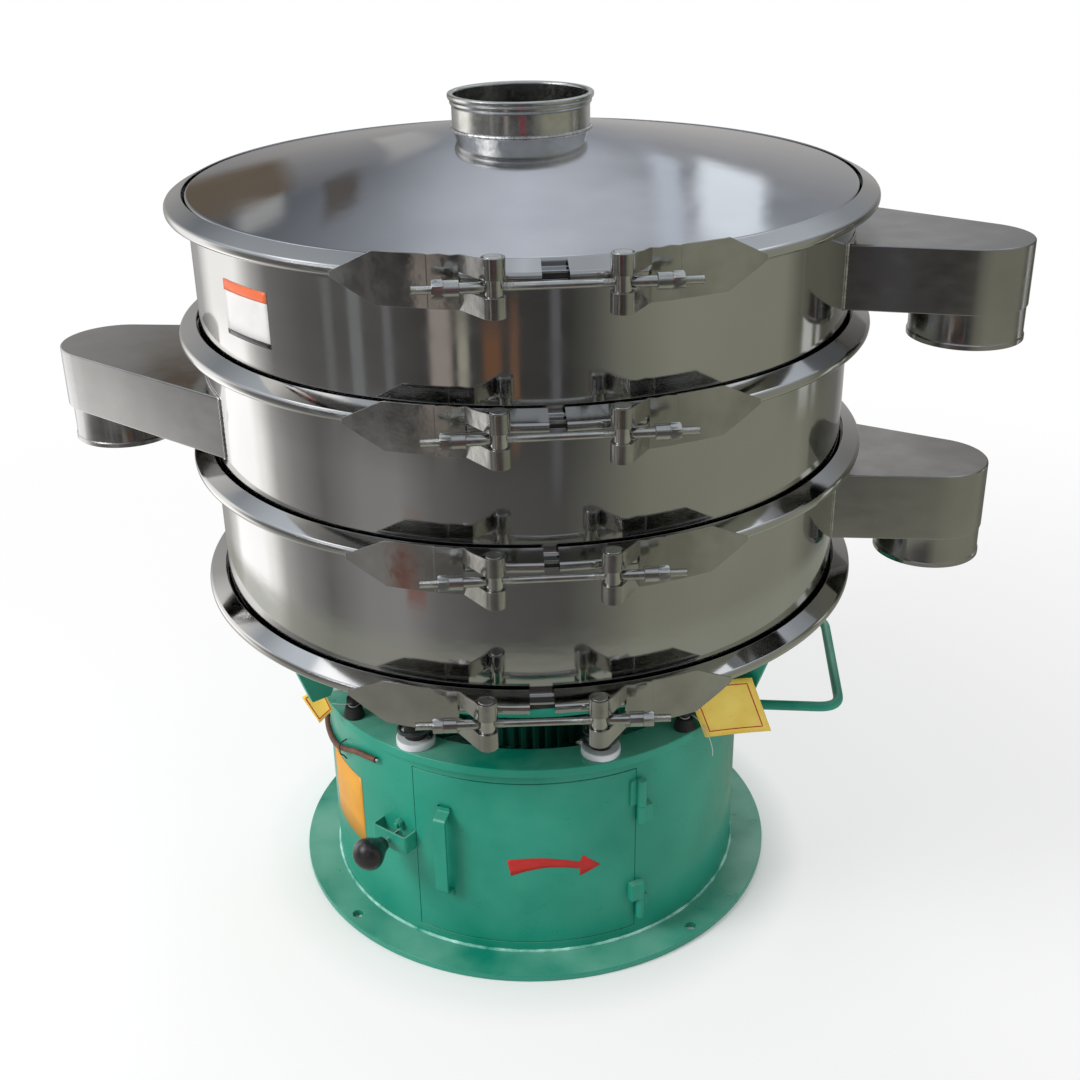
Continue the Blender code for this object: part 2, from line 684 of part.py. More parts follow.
def add_decks():
    """Three deck shells, each with a discharge spout; the lowest one has a domed floor."""
    for index, drop in enumerate(SPOUT_DROPS):
        top_joint, bottom_joint = JOINT_HEIGHTS[index:index + 2]
        spout, spout_space = spout_meshes(index)
        spout_place = {"location": (0.0, 0.0, top_joint - drop), "azimuth": SPOUT_AZIMUTHS[index] - 90.0}
        deck = turned(f"deck_{index + 1}", deck_profile(top_joint, bottom_joint), MIRROR)
        if bottom_joint == TABLE_JOINT:
            rim = top_joint - drop - SPOUT_HEIGHTS[index] - DOME_RIM_DROP
            shoulder = rim + DOME_RISE * DOME_SHOULDER
            wall = SHELL_RADIUS - SHEET / 2
            dome = [(0.0, rim + DOME_RISE), (wall / 2, shoulder), (wall, rim),
                    (wall, rim - SHEET), (wall / 2, shoulder - SHEET), (0.0, rim + DOME_RISE - SHEET)]
            combine(deck, "UNION", turned_tool(dome, closed=False))
        combine(deck, "DIFFERENCE", tool(spout_space, **spout_place))
        shell_space = seat_tool(SHELL_RADIUS, bottom_joint, top_joint)
        combine(add(f"spout_{index + 1}", spout, SATIN, **spout_place), "DIFFERENCE", shell_space)


def add_screens_and_gaskets():
    """A gasket in every joint and a screen at the two middle ones."""
    for number, joint in enumerate(JOINT_HEIGHTS, start=1):
        top = joint + GASKET_HEIGHT / 2
        bottom = joint - GASKET_HEIGHT / 2
        if number in (2, 3):
            frame_low = top - SCREEN_FRAME_HEIGHT
            frame_inner = FLANGE_RADIUS - SCREEN_FRAME_WIDTH
            name = {2: "screen_upper", 3: "screen_lower"}[number]
            screen = solid_profile([
                (frame_inner, frame_low + SCREEN_MESH_HEIGHT),
                (frame_inner, top),
                (FLANGE_RADIUS, top),
                (FLANGE_RADIUS, frame_low),
            ])
            turned(name, screen, SATIN, closed=False)
            top = frame_low - GAP
        name = {1: "lid_gasket", 2: "upper_screen_gasket", 3: "lower_screen_gasket", 4: "table_gasket"}[number]
        inner = SHELL_RADIUS - SHEET
        turned(name, [(FLANGE_RADIUS, top), (FLANGE_RADIUS, bottom), (inner, bottom), (inner, top)], RUBBER)


def add_lid():
    """The conical lid and the ferrule that the feed falls through."""
    base = JOINT_HEIGHTS[0] + GASKET_HEIGHT / 2 + GAP
    hole = clear_radius(INLET_RADIUS, RING_STEPS)
    shoulder = SHELL_RADIUS - LID_SHOULDER_IN
    edge = SHELL_RADIUS + LID_EDGE_OUT
    turned("lid", [
        (hole, LID_CROWN_HEIGHT),
        (shoulder, base + LID_SHOULDER_RISE),
        (edge, base + SHEET),
        (FLANGE_RADIUS, base + SHEET),
        (FLANGE_RADIUS, base),
        (edge - SHEET, base),
        (shoulder - SHEET, base + LID_SHOULDER_RISE - SHEET),
        (hole, LID_CROWN_HEIGHT - SHEET),
    ], SATIN)
    rim_low = INLET_TOP - INLET_RIM_HEIGHT
    bead_top = rim_low - INLET_CHAMFER
    bead_low = bead_top - INLET_BEAD_HEIGHT
    turned("inlet_ferrule", [
        (INLET_RADIUS + INLET_RIM_OUT, INLET_TOP),
        (INLET_RADIUS + INLET_RIM_OUT, rim_low),
        (INLET_RADIUS + INLET_BEAD_OUT, bead_top),
        (INLET_RADIUS + INLET_BEAD_OUT, bead_low),
        (INLET_RADIUS, bead_low - INLET_CHAMFER),
        (INLET_RADIUS, INLET_BOTTOM),
        (INLET_RADIUS - INLET_WALL, INLET_BOTTOM),
        (INLET_RADIUS - INLET_WALL, INLET_TOP),
    ], SATIN, ROUND_STEPS)


def pair_azimuths(offset):
    """Azimuths at an offset from the middle of each pair of springs."""
    return [SPRING_START + 360.0 * pair / SPRING_PAIRS + offset for pair in range(SPRING_PAIRS)]


def spring_azimuths():
    """Where the springs stand around the ring."""
    return pair_azimuths(-SPRING_SPREAD) + pair_azimuths(SPRING_SPREAD)


def add_table():
    """The dished table that carries the decks, with spring cups under it and ribs beside them."""
    top = JOINT_HEIGHTS[3] - GASKET_HEIGHT / 2 - GAP
    slope = (SHELL_RADIUS - TABLE_PLATE_RADIUS) / (top - SHEET - TABLE_PLATE_BOTTOM)
    inner_shift = 3 * TABLE_SHEET / 4 * math.hypot(1.0, slope)
    table = turned("table_frame", [
        (FLANGE_RADIUS, top),
        (FLANGE_RADIUS, top - SHEET),
        (SHELL_RADIUS, top - SHEET),
        (TABLE_PLATE_RADIUS, TABLE_PLATE_BOTTOM),
        (TABLE_HOLE_RADIUS, TABLE_PLATE_BOTTOM),
        (TABLE_HOLE_RADIUS, TABLE_PLATE_TOP),
        (TABLE_PLATE_RADIUS - inner_shift + slope * TABLE_SHEET, TABLE_PLATE_TOP),
        (SHELL_RADIUS - inner_shift, top),
    ], GREEN)
    cup = cylinder_mesh(SEAT_RADIUS, 0.0, CUP_HEIGHT + TABLE_SHEET / 2, SMALL_STEPS)
    combine(table, "UNION", tool(pattern(cup, around(SPRING_CIRCLE, spring_azimuths(), CUP_BOTTOM))))
    rib_inner = TABLE_PLATE_RADIUS - TABLE_SHEET
    rib_outer = SHELL_RADIUS - RIB_TOP_IN
    foot_outer = TABLE_PLATE_RADIUS + RIB_FOOT_OUT
    foot_height = TABLE_PLATE_BOTTOM - RIB_DEPTH
    outline = [
        (foot_outer, foot_height),
        (rib_outer, top - SHEET / 2),
        (rib_outer - RIB_WIDTH, top - SHEET / 2),
        (rib_inner, TABLE_PLATE_BOTTOM + TABLE_SHEET / 2),
        (foot_outer - RIB_FOOT_LENGTH, foot_height),
    ]
    rib = moved(prism_mesh(outline, -RIB_WIDTH / 2, RIB_WIDTH / 2), SIDE_VIEW)
    combine(table, "UNION", tool(pattern(rib, around(0.0, RIB_AZIMUTHS))))


def weight_mesh(hub_bore):
    """A fan-shaped weight on a hub, pointing to the front; hub_bore cuts the hub for the shaft."""
    outline = [(-WEIGHT_HUB_RADIUS, 0.0)]
    count = 8
    for step in range(count + 1):
        angle = math.pi + math.pi * step / count
        outline.append((WEIGHT_RADIUS * math.cos(angle), WEIGHT_RADIUS * math.sin(angle)))
    outline.append((WEIGHT_HUB_RADIUS, 0.0))
    fan = tool(prism_mesh(outline, 0.0, WEIGHT_HEIGHT))
    combine(fan, "UNION", tool(cylinder_mesh(WEIGHT_HUB_RADIUS, 0.0, WEIGHT_HEIGHT, ROUND_STEPS)))
    if hub_bore:
        combine(fan, "DIFFERENCE", tool(cylinder_mesh(hub_bore, -OVERCUT, WEIGHT_HEIGHT + OVERCUT, ROUND_STEPS)))
    return baked(fan)


def add_motor():
    """The vertical motor under the table, its shaft with the upper weight, and the lower weight."""
    flange_top = TABLE_PLATE_BOTTOM - GAP
    flange_radius = MOTOR_RADIUS + MOTOR_FLANGE_OUT
    flange_bottom = flange_top - MOTOR_FLANGE_HEIGHT
    bore = clear_radius(SHAFT_RADIUS, ROUND_STEPS)
    turned("motor_housing", [
        (MOTOR_SPIGOT_RADIUS, MOTOR_SPIGOT_TOP),
        (MOTOR_SPIGOT_RADIUS, flange_top),
        (flange_radius, flange_top),
        (flange_radius, flange_bottom),
        (MOTOR_RADIUS, flange_bottom),
        (MOTOR_RADIUS, MOTOR_BOTTOM + MOTOR_BELL),
        (MOTOR_RADIUS - MOTOR_BELL, MOTOR_BOTTOM),
        (bore, MOTOR_BOTTOM),
        (bore, MOTOR_SPIGOT_TOP),
    ], GREEN, ROUND_STEPS)
    rotor = empty("motor_spin_axis", (0.0, 0.0, UPPER_WEIGHT_BOTTOM), parent=AXIS)
    shaft_mesh = cylinder_mesh(SHAFT_RADIUS, SHAFT_BOTTOM - UPPER_WEIGHT_BOTTOM, SHAFT_TOP - UPPER_WEIGHT_BOTTOM,
                               ROUND_STEPS)
    shaft = add("motor_shaft", shaft_mesh, ZINC, parent=rotor)
    combine(shaft, "UNION", tool(weight_mesh(None), parent=rotor))
    add("lower_weight", weight_mesh(bore), ZINC, location=(0.0, 0.0, LOWER_WEIGHT_BOTTOM))


def add_springs():
    """Eight coil springs between the nylon seats and the table's cups."""
    low = SEAT_TOP + GAP + SPRING_WIRE
    high = CUP_BOTTOM - GAP - SPRING_WIRE
    count = int(SPRING_TURNS * SPRING_POINTS_PER_TURN)
    points = []
    for i in range(count + 1):
        angle = math.tau * i / SPRING_POINTS_PER_TURN
        climb = i / count
        height = low + (high - low) * climb * climb * (3 - 2 * climb)
        points.append((SPRING_RADIUS * math.cos(angle), SPRING_RADIUS * math.sin(angle), height))
    coil = tube_mesh(points, SPRING_WIRE, 1)
    for number, azimuth in enumerate(spring_azimuths(), start=1):
        add(f"spring_{number}", coil, SPRING_STEEL, location=polar(SPRING_CIRCLE, azimuth), azimuth=azimuth)


def add_transport_bolts():
    """Rubber buffers with a hexagon bolt, standing on the ring clear of the table."""
    buffer_top = RING_TOP + GAP + BUFFER_HEIGHT
    head_low = buffer_top + BOLT_SHANK
    bolt = tool(cylinder_mesh(BUFFER_RADIUS, RING_TOP + GAP, buffer_top, SMALL_STEPS, BUFFER_TOP_RADIUS))
    combine(bolt, "UNION", tool(cylinder_mesh(BOLT_RADIUS, buffer_top - BITE, head_low + BITE, SMALL_STEPS)))
    head = cylinder_mesh(BOLT_HEAD_FLATS / math.sqrt(3), head_low, head_low + BOLT_HEAD_HEIGHT, 6)
    combine(bolt, "UNION", tool(head))
    mesh = baked(bolt)
    for number, azimuth in enumerate(BOLT_AZIMUTHS, start=1):
        add(f"transport_bolt_{number}", mesh, RUBBER, location=polar(BOLT_CIRCLE, azimuth), azimuth=azimuth)


def wedge_mesh(left, right, low, high):
    """A sector of a full turn between two azimuths, out past the base shell."""
    reach = 2 * BASE_RADIUS
    count = 4
    outline = [(0.0, 0.0)]
    for step in range(count + 1):
        azimuth = left + (right - left) * step / count
        outline.append(tuple(polar(reach, azimuth))[:2])
    return prism_mesh(outline, low, high)


def side_box(sign, near, far, low, high):
    """A box from near to far along X, to the right for 1 and to the left for -1."""
    left, right = sorted((sign * near, sign * far))
    return box_mesh((left, *low), (right, *high))


def barrel_mesh(low, high, leaf_sign):
    """One half of a hinge around Z, with a leaf to the left or the right, its back at -Y."""
    barrel = tool(cylinder_mesh(HINGE_RADIUS, low, high, SMALL_STEPS))
    sunk = HINGE_STANDOFF + BASE_SHEET / 2
    leaf = side_box(leaf_sign, 0.0, HINGE_LEAF, (-HINGE_RADIUS / 2, low), (sunk, high))
    combine(barrel, "UNION", tool(leaf))
    other_side = seam_offset() + DOOR_CLEARANCE + GAP
    notch = side_box(leaf_sign, -HINGE_LEAF, other_side,
                     (HINGE_RADIUS - BITE / 2, low - OVERCUT), (2 * sunk, high + OVERCUT))
    return baked(combine(barrel, "DIFFERENCE", tool(notch)))


def seam_offset():
    """How far the door's right seam lies from the hinge axis, along the shell."""
    return BASE_RADIUS * math.radians(HINGE_AZIMUTH - DOOR_RIGHT)


def add_base():
    """Floor flange, shell with its doorway and hinge halves, spring ring, handle and supply lead."""
    floor = turned("floor_flange", [
        (FLOOR_RADIUS, FLOOR_SHEET),
        (FLOOR_RADIUS, 0.0),
        (FLOOR_INNER, 0.0),
        (FLOOR_INNER, FLOOR_SHEET),
    ], GREEN)
    anchor = cylinder_mesh(ANCHOR_RADIUS, -FLOOR_SHEET, 2 * FLOOR_SHEET, BORE_STEPS)
    combine(floor, "DIFFERENCE", tool(pattern(anchor, around(FLOOR_RADIUS - ANCHOR_EDGE, ANCHOR_AZIMUTHS))))

    shell = turned("base_shell", [
        (BASE_RADIUS, RING_BOTTOM - GAP),
        (BASE_RADIUS, FLOOR_SHEET + GAP),
        (BASE_RADIUS - BASE_SHEET, FLOOR_SHEET + GAP),
        (BASE_RADIUS - BASE_SHEET, RING_BOTTOM - GAP),
    ], GREEN)
    seam = math.degrees(DOOR_CLEARANCE / BASE_RADIUS)
    doorway = wedge_mesh(DOOR_LEFT - seam, DOOR_RIGHT + seam, DOOR_BOTTOM - DOOR_CLEARANCE, DOOR_TOP + DOOR_CLEARANCE)
    combine(shell, "DIFFERENCE", tool(doorway))
    hinge_place = polar(BASE_RADIUS + HINGE_STANDOFF, HINGE_AZIMUTH)
    for split, (below, above) in HINGES:
        lower_half = barrel_mesh(split - below, split - GAP / 2, 1)
        combine(shell, "UNION", tool(lower_half, location=hinge_place, azimuth=HINGE_AZIMUTH))
        pin = cylinder_mesh(HINGE_PIN_RADIUS, split - below / 2, split + above - HINGE_RADIUS, SMALL_STEPS)
        combine(shell, "UNION", tool(pin, location=hinge_place, azimuth=HINGE_AZIMUTH))
    spindle_hole = cylinder_mesh(clear_radius(LATCH_SPINDLE_RADIUS, SMALL_STEPS), -OVERCUT, OVERCUT, SMALL_STEPS)
    spindle_hole = moved(spindle_hole, Matrix.Rotation(math.radians(90), 4, "X"))
    combine(shell, "DIFFERENCE", tool(spindle_hole, location=polar(BASE_RADIUS, LATCH_AZIMUTH, LATCH_HEIGHT),
                                      azimuth=LATCH_AZIMUTH))
    lead_start, lead_drop = LEAD_ROUTE[0]
    gland = moved(cylinder_mesh(GLAND_RADIUS, -GLAND_LENGTH / 2, GLAND_LENGTH / 2, SMALL_STEPS),
                  Matrix.Rotation(math.radians(90), 4, "Y"))
    gland_azimuth = lead_start - math.degrees((GLAND_LENGTH / 2 + GAP) / lead_path_radius())
    combine(shell, "UNION", tool(gland, location=polar(lead_path_radius(), gland_azimuth, RING_TOP - lead_drop),
                                 azimuth=gland_azimuth))

    ring = turned("spring_ring", [
        (RING_OUTER, RING_TOP),
        (RING_OUTER, RING_BOTTOM),
        (RING_INNER, RING_BOTTOM),
        (RING_INNER, RING_TOP),
    ], GREEN)
    seat_mesh = baked(turned_tool(solid_profile([
        (SPIGOT_RADIUS, SEAT_HEIGHT + SPIGOT_LENGTH),
        (SPIGOT_RADIUS, SEAT_HEIGHT),
        (SEAT_RADIUS, SEAT_HEIGHT),
        (SEAT_RADIUS, -RING_SHEET / 2),
    ]), SMALL_STEPS, closed=False))
    seats = pattern(seat_mesh, around(SPRING_CIRCLE, spring_azimuths(), RING_TOP))
    seats.materials.append(NYLON)
    ring.data.materials.append(NYLON)
    combine(ring, "UNION", tool(seats)).modifiers[-1].material_mode = "TRANSFER"

    weld(shell)
    add_handle()
    add_lead()


def lead_path_radius():
    """The lead's centre line lies against the shell."""
    return BASE_RADIUS + LEAD_RADIUS + GAP


def add_handle():
    """A bent tube that stands out level with the spring ring."""
    height = RING_TOP - RING_SHEET / 2
    root = math.sqrt(RING_OUTER ** 2 - HANDLE_HALF ** 2) - 2 * HANDLE_TUBE
    points = [(root, -HANDLE_HALF)]
    for corner, start in ((-1, -math.pi / 2), (1, 0.0)):
        centre = (RING_OUTER + HANDLE_OUT - HANDLE_BEND, corner * (HANDLE_HALF - HANDLE_BEND))
        for step in range(HANDLE_BEND_STEPS + 1):
            angle = start + math.pi / 2 * step / HANDLE_BEND_STEPS
            points.append((centre[0] + HANDLE_BEND * math.cos(angle), centre[1] + HANDLE_BEND * math.sin(angle)))
    points.append((root, HANDLE_HALF))
    path = [(x, y, height) for x, y in points]
    handle = add("side_handle", tube_mesh(path, HANDLE_TUBE), GREEN, azimuth=HANDLE_AZIMUTH - 90.0)
    combine(handle, "DIFFERENCE", seat_tool(RING_OUTER, height - 3 * HANDLE_TUBE, height + 3 * HANDLE_TUBE))


def add_lead():
    """The supply lead, cut off short, along a smooth curve through its route."""
    route = [polar(lead_path_radius(), azimuth, RING_TOP - drop) for azimuth, drop in LEAD_ROUTE]
    route = [2 * route[0] - route[1]] + route + [2 * route[-1] - route[-2]]
    points = []
    for i in range(1, len(route) - 2):
        before, start, end, after = route[i - 1:i + 3]
        for step in range(LEAD_POINTS_PER_SPAN):
            t = step / LEAD_POINTS_PER_SPAN
            bend = (2 * before - 5 * start + 4 * end - after) * t * t
            twist = (3 * start - before - 3 * end + after) * t * t * t
            points.append((2 * start + (end - before) * t + bend + twist) / 2)
    points.append(route[-2])
    outward = [polar(lead_path_radius(), math.degrees(math.atan2(p.x, -p.y)), p.z) for p in points]
    add("supply_lead", tube_mesh(outward, LEAD_RADIUS), BROWN)


def add_door():
    """The curved door with its hinge halves, and the flat bar that it is pulled by."""
    hinge_place = polar(BASE_RADIUS + HINGE_STANDOFF, HINGE_AZIMUTH)
    hinge = empty("door_hinge_axis", hinge_place, parent=AXIS)
    back = -hinge_place
    door = turned("door", [
        (BASE_RADIUS, DOOR_TOP + OVERCUT),
        (BASE_RADIUS, DOOR_BOTTOM - OVERCUT),
        (BASE_RADIUS - BASE_SHEET, DOOR_BOTTOM - OVERCUT),
        (BASE_RADIUS - BASE_SHEET, DOOR_TOP + OVERCUT),
    ], GREEN, parent=hinge, location=back)
    combine(door, "INTERSECT", tool(wedge_mesh(DOOR_LEFT, DOOR_RIGHT, DOOR_BOTTOM, DOOR_TOP)))
    bore_radius = clear_radius(HINGE_PIN_RADIUS, SMALL_STEPS)
    for split, (below, above) in HINGES:
        upper_half = barrel_mesh(split + GAP / 2, split + above, -1)
        combine(door, "UNION", tool(upper_half, location=hinge_place, azimuth=HINGE_AZIMUTH))
        pin_space = cylinder_mesh(bore_radius, split - OVERCUT, split + above - HINGE_RADIUS + GAP, SMALL_STEPS)
        combine(door, "DIFFERENCE", tool(pin_space, location=hinge_place, azimuth=HINGE_AZIMUTH))
    weld(door)
    foot = BASE_RADIUS * FACET + PULL_SHEET / 2
    low = DOOR_BOTTOM + PULL_RISE
    high = low + PULL_LENGTH
    side = [
        (foot, low),
        (foot, low + PULL_TAB),
        (foot + PULL_STANDOFF, low + PULL_TAB + PULL_SLOPE),
        (foot + PULL_STANDOFF, high - PULL_TAB - PULL_SLOPE),
        (foot, high - PULL_TAB),
        (foot, high),
    ]
    bar = moved(ribbon_mesh(side, -PULL_WIDTH / 2, PULL_WIDTH / 2), SIDE_VIEW)
    pull = add("door_pull", bar, GREEN, parent=hinge, location=back, azimuth=PULL_AZIMUTH)
    combine(thicken(pull, PULL_SHEET), "DIFFERENCE", seat_tool(BASE_RADIUS, DOOR_BOTTOM, DOOR_TOP))


def add_latch():
    """Channel bracket, spindle with its tongue, and the knob; the spindle runs along the radius."""
    foot = math.sqrt(BASE_RADIUS ** 2 - BRACKET_HALF ** 2) - BRACKET_SHEET
    face = BASE_RADIUS * FACET + BRACKET_SHEET / 2 + BRACKET_STANDOFF
    spindle_end = face + BRACKET_SHEET / 2 + LATCH_NECK
    tongue_back = BASE_RADIUS - LATCH_TONGUE_DEPTH
    plan = [
        (-BRACKET_HALF, -foot),
        (-BRACKET_HALF, BRACKET_CORNER - face),
        (BRACKET_CORNER - BRACKET_HALF, -face),
        (BRACKET_HALF - BRACKET_CORNER, -face),
        (BRACKET_HALF, BRACKET_CORNER - face),
        (BRACKET_HALF, -foot),
    ]
    channel = ribbon_mesh(plan, LATCH_HEIGHT - BRACKET_WIDTH / 2, LATCH_HEIGHT + BRACKET_WIDTH / 2)
    bracket = add("latch_bracket", channel, GREEN, azimuth=LATCH_AZIMUTH)
    thicken(bracket, BRACKET_SHEET)
    combine(bracket, "DIFFERENCE", seat_tool(BASE_RADIUS, DOOR_BOTTOM, DOOR_TOP))
    along_radius = Matrix.Rotation(math.radians(90), 4, "X")
    hole_radius = clear_radius(LATCH_SPINDLE_RADIUS, SMALL_STEPS)
    hole = moved(cylinder_mesh(hole_radius, BASE_RADIUS, spindle_end, SMALL_STEPS), along_radius)
    combine(bracket, "DIFFERENCE", tool(hole, location=(0.0, 0.0, LATCH_HEIGHT), azimuth=LATCH_AZIMUTH))

    axis = empty("latch_axis", (0.0, 0.0, LATCH_HEIGHT), azimuth=LATCH_AZIMUTH, parent=AXIS)
    spindle = cylinder_mesh(LATCH_SPINDLE_RADIUS, tongue_back, spindle_end, SMALL_STEPS)
    lever = add("latch_spindle", moved(spindle, along_radius), ZINC, parent=axis)
    end = LATCH_TONGUE_WIDTH / 2
    tongue = box_mesh((-end, -tongue_back - LATCH_TONGUE_SHEET, -end),
                      (end, -tongue_back, LATCH_TONGUE_LENGTH - end))
    combine(lever, "UNION", tool(tongue, parent=axis))
    knob_start = spindle_end + GAP
    profile = [(0.0, 0.0), (KNOB_NECK_RADIUS, 0.0)]
    count = 5
    ball = KNOB_LENGTH - KNOB_RADIUS
    for step in range(count + 1):
        angle = math.radians(-50 + 140 * step / count)
        profile.append((max(KNOB_RADIUS * math.cos(angle), 0.0), ball + KNOB_RADIUS * math.sin(angle)))
    profile[-1] = (0.0, KNOB_LENGTH)
    outline = [(radius, height) for radius, height in reversed(profile)]
    knob = baked(turned_tool(outline, KNOB_STEPS, closed=False))
    knob = moved(knob, along_radius @ Matrix.Translation((0.0, 0.0, knob_start)))
    add("latch_knob", knob, PLASTIC, parent=axis)


def centre_footprint():
    """Shifts the machine's axis so that the origin is the middle of the whole footprint."""
    bpy.context.view_layer.update()
    graph = bpy.context.evaluated_depsgraph_get()
    corners = []
    for item in PARTS.objects:
        if item.type == "MESH":
            shape = item.evaluated_get(graph)
            corners += [shape.matrix_world @ vert.co for vert in shape.data.vertices]
    for side in (0, 1):
        values = [corner[side] for corner in corners]
        AXIS.location[side] -= (min(values) + max(values)) / 2


add_clamps()
add_decks()
add_screens_and_gaskets()
add_lid()
add_table()
add_motor()
add_springs()
add_transport_bolts()
add_base()
add_door()
add_latch()
centre_footprint()
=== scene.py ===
# %% [markdown]
# # A round vibrating sieve, dressed in Blender
# The real machine is a stack of polished stainless decks, held together by V-shaped clamp
# bands, that shakes on eight coil springs above a green steel base. The solid model is
# already made and stays where it is: this lesson loads it as a fixed frame, and lays a
# finer surface over each piece that is seen.

# %% Load the frame
import math

import bmesh
import bpy
import numpy as np
from mathutils import Matrix, Vector


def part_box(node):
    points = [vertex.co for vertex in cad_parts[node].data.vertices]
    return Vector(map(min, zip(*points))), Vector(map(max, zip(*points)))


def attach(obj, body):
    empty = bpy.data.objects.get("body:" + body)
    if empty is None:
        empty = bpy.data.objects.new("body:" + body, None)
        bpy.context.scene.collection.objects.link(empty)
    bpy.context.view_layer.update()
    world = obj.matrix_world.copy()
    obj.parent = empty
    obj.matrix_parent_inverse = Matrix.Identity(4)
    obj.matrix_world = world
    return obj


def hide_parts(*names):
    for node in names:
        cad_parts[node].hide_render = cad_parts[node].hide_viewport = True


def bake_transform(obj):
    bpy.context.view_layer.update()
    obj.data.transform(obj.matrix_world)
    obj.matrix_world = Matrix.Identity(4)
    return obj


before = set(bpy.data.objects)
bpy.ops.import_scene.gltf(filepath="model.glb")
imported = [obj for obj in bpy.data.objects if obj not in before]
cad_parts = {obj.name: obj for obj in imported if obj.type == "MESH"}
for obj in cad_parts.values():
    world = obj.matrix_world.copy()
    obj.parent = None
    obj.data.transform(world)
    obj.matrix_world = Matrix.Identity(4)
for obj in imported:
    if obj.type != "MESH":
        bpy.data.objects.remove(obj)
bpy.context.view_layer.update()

# %% [markdown]
# ## Where the machine stands
# Every round piece turns about one upright axis. It is the middle of the floor flange, so
# its place is read from the frame instead of being typed in. An azimuth is in degrees
# around that axis, 0 at the front and growing to the right.

# %% The machine's axis
low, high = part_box("floor_flange")
AXIS = np.array([(low.x + high.x) / 2, (low.y + high.y) / 2])
JOINTS = (1.0928, 0.9174, 0.7379, 0.5379)  # heights of the four clamped joints, the lid's first
SHELL, SHEET, FLANGE = 0.460, 0.003, 0.480265  # a deck's radius, its wall, and the radius of its flanges
FLANGE_OFF = 0.0033  # from a joint's middle to the flange on either side of its gasket
print("axis:", AXIS.round(4))


def points_of(*values):
    """Points made of separate numbers, each spread to the shape that they share."""
    return np.stack(np.broadcast_arrays(*values), axis=-1)


def about(radius, azimuth, height):
    """A point at a radius and height, turned by the azimuth: x goes with its sine, y with minus its cosine."""
    angle = np.radians(azimuth)
    return points_of(AXIS[0] + radius * np.sin(angle), AXIS[1] - radius * np.cos(angle), height)


def facing(points, azimuth):
    """Local (across, outwards, height) turned to face the azimuth: outwards is the radius, across its tangent."""
    angle = math.radians(azimuth)
    across, out, height = points[..., 0], points[..., 1], points[..., 2]
    x = AXIS[0] + across * math.cos(angle) + out * math.sin(angle)
    y = AXIS[1] + across * math.sin(angle) - out * math.cos(angle)
    return points_of(x, y, height)


# %% [markdown]
# ## Surfaces from grids
# A sheet-metal piece is easiest to describe by two numbers: how far round, and how far
# along its profile. So each surface here is a grid of points worked out at once with
# numpy, and the faces only say which neighbours on the grid belong together.

# %% Grids and meshes
def cells(rows, columns, loop_rows=False, loop_columns=False):
    """Corner numbers of a grid's cells: a point, its neighbour along the row, the one across, and back."""
    i = np.arange(rows if loop_rows else rows - 1)[:, None]
    j = np.arange(columns if loop_columns else columns - 1)[None, :]
    i, j = np.broadcast_arrays(i, j)
    after_i, after_j = (i + 1) % rows, (j + 1) % columns
    corners = [i * columns + j, i * columns + after_j, after_i * columns + after_j, after_i * columns + j]
    return np.stack(corners, axis=-1)


def patch(points, loop_rows=False, loop_columns=False, keep=None, caps=False):
    """A grid of points as (points, faces); keep marks the cells that stay, caps closes the first and last row."""
    rows, columns = points.shape[:2]
    faces = cells(rows, columns, loop_rows, loop_columns)
    faces = faces[keep] if keep is not None else faces.reshape(-1, 4)
    faces = faces.tolist()
    if caps:
        faces += [list(range(columns)), list(range((rows - 1) * columns, rows * columns))[::-1]]
    return points.reshape(-1, 3), faces


def build(name, patches, material, body, replaces=(), sheet=None, offset=-1.0, angle=35.0, bevel=None):
    """Joins patches into one piece; a closed one is turned outwards, an open one gets its sheet by Solidify."""
    corners, faces, start = [], [], 0
    for points, own in patches:
        corners.append(points)
        faces += [[start + corner for corner in face] for face in own]
        start += len(points)
    mesh = bpy.data.meshes.new(name)
    mesh.from_pydata(np.concatenate(corners).tolist(), [], faces)
    shape = bmesh.new()
    shape.from_mesh(mesh)
    bmesh.ops.remove_doubles(shape, verts=shape.verts, dist=2e-6)
    if sheet is None:
        bmesh.ops.recalc_face_normals(shape, faces=shape.faces)
    shape.to_mesh(mesh)
    shape.free()
    mesh.materials.append(material)
    mesh.shade_smooth()
    mesh.set_sharp_from_angle(angle=math.radians(angle))
    item = bpy.data.objects.new(name, mesh)
    bpy.context.scene.collection.objects.link(item)
    if sheet:
        wall = item.modifiers.new("sheet", "SOLIDIFY")
        wall.thickness, wall.offset = sheet, offset
        wall.use_even_offset = offset != 0.0
    if bevel:
        edge = item.modifiers.new("edge", "BEVEL")
        edge.width, edge.segments = bevel, 2
        edge.limit_method, edge.angle_limit = "ANGLE", math.radians(50)
        edge.harden_normals = True
    if body:
        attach(item, body)
    if replaces:
        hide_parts(*replaces)
    return item


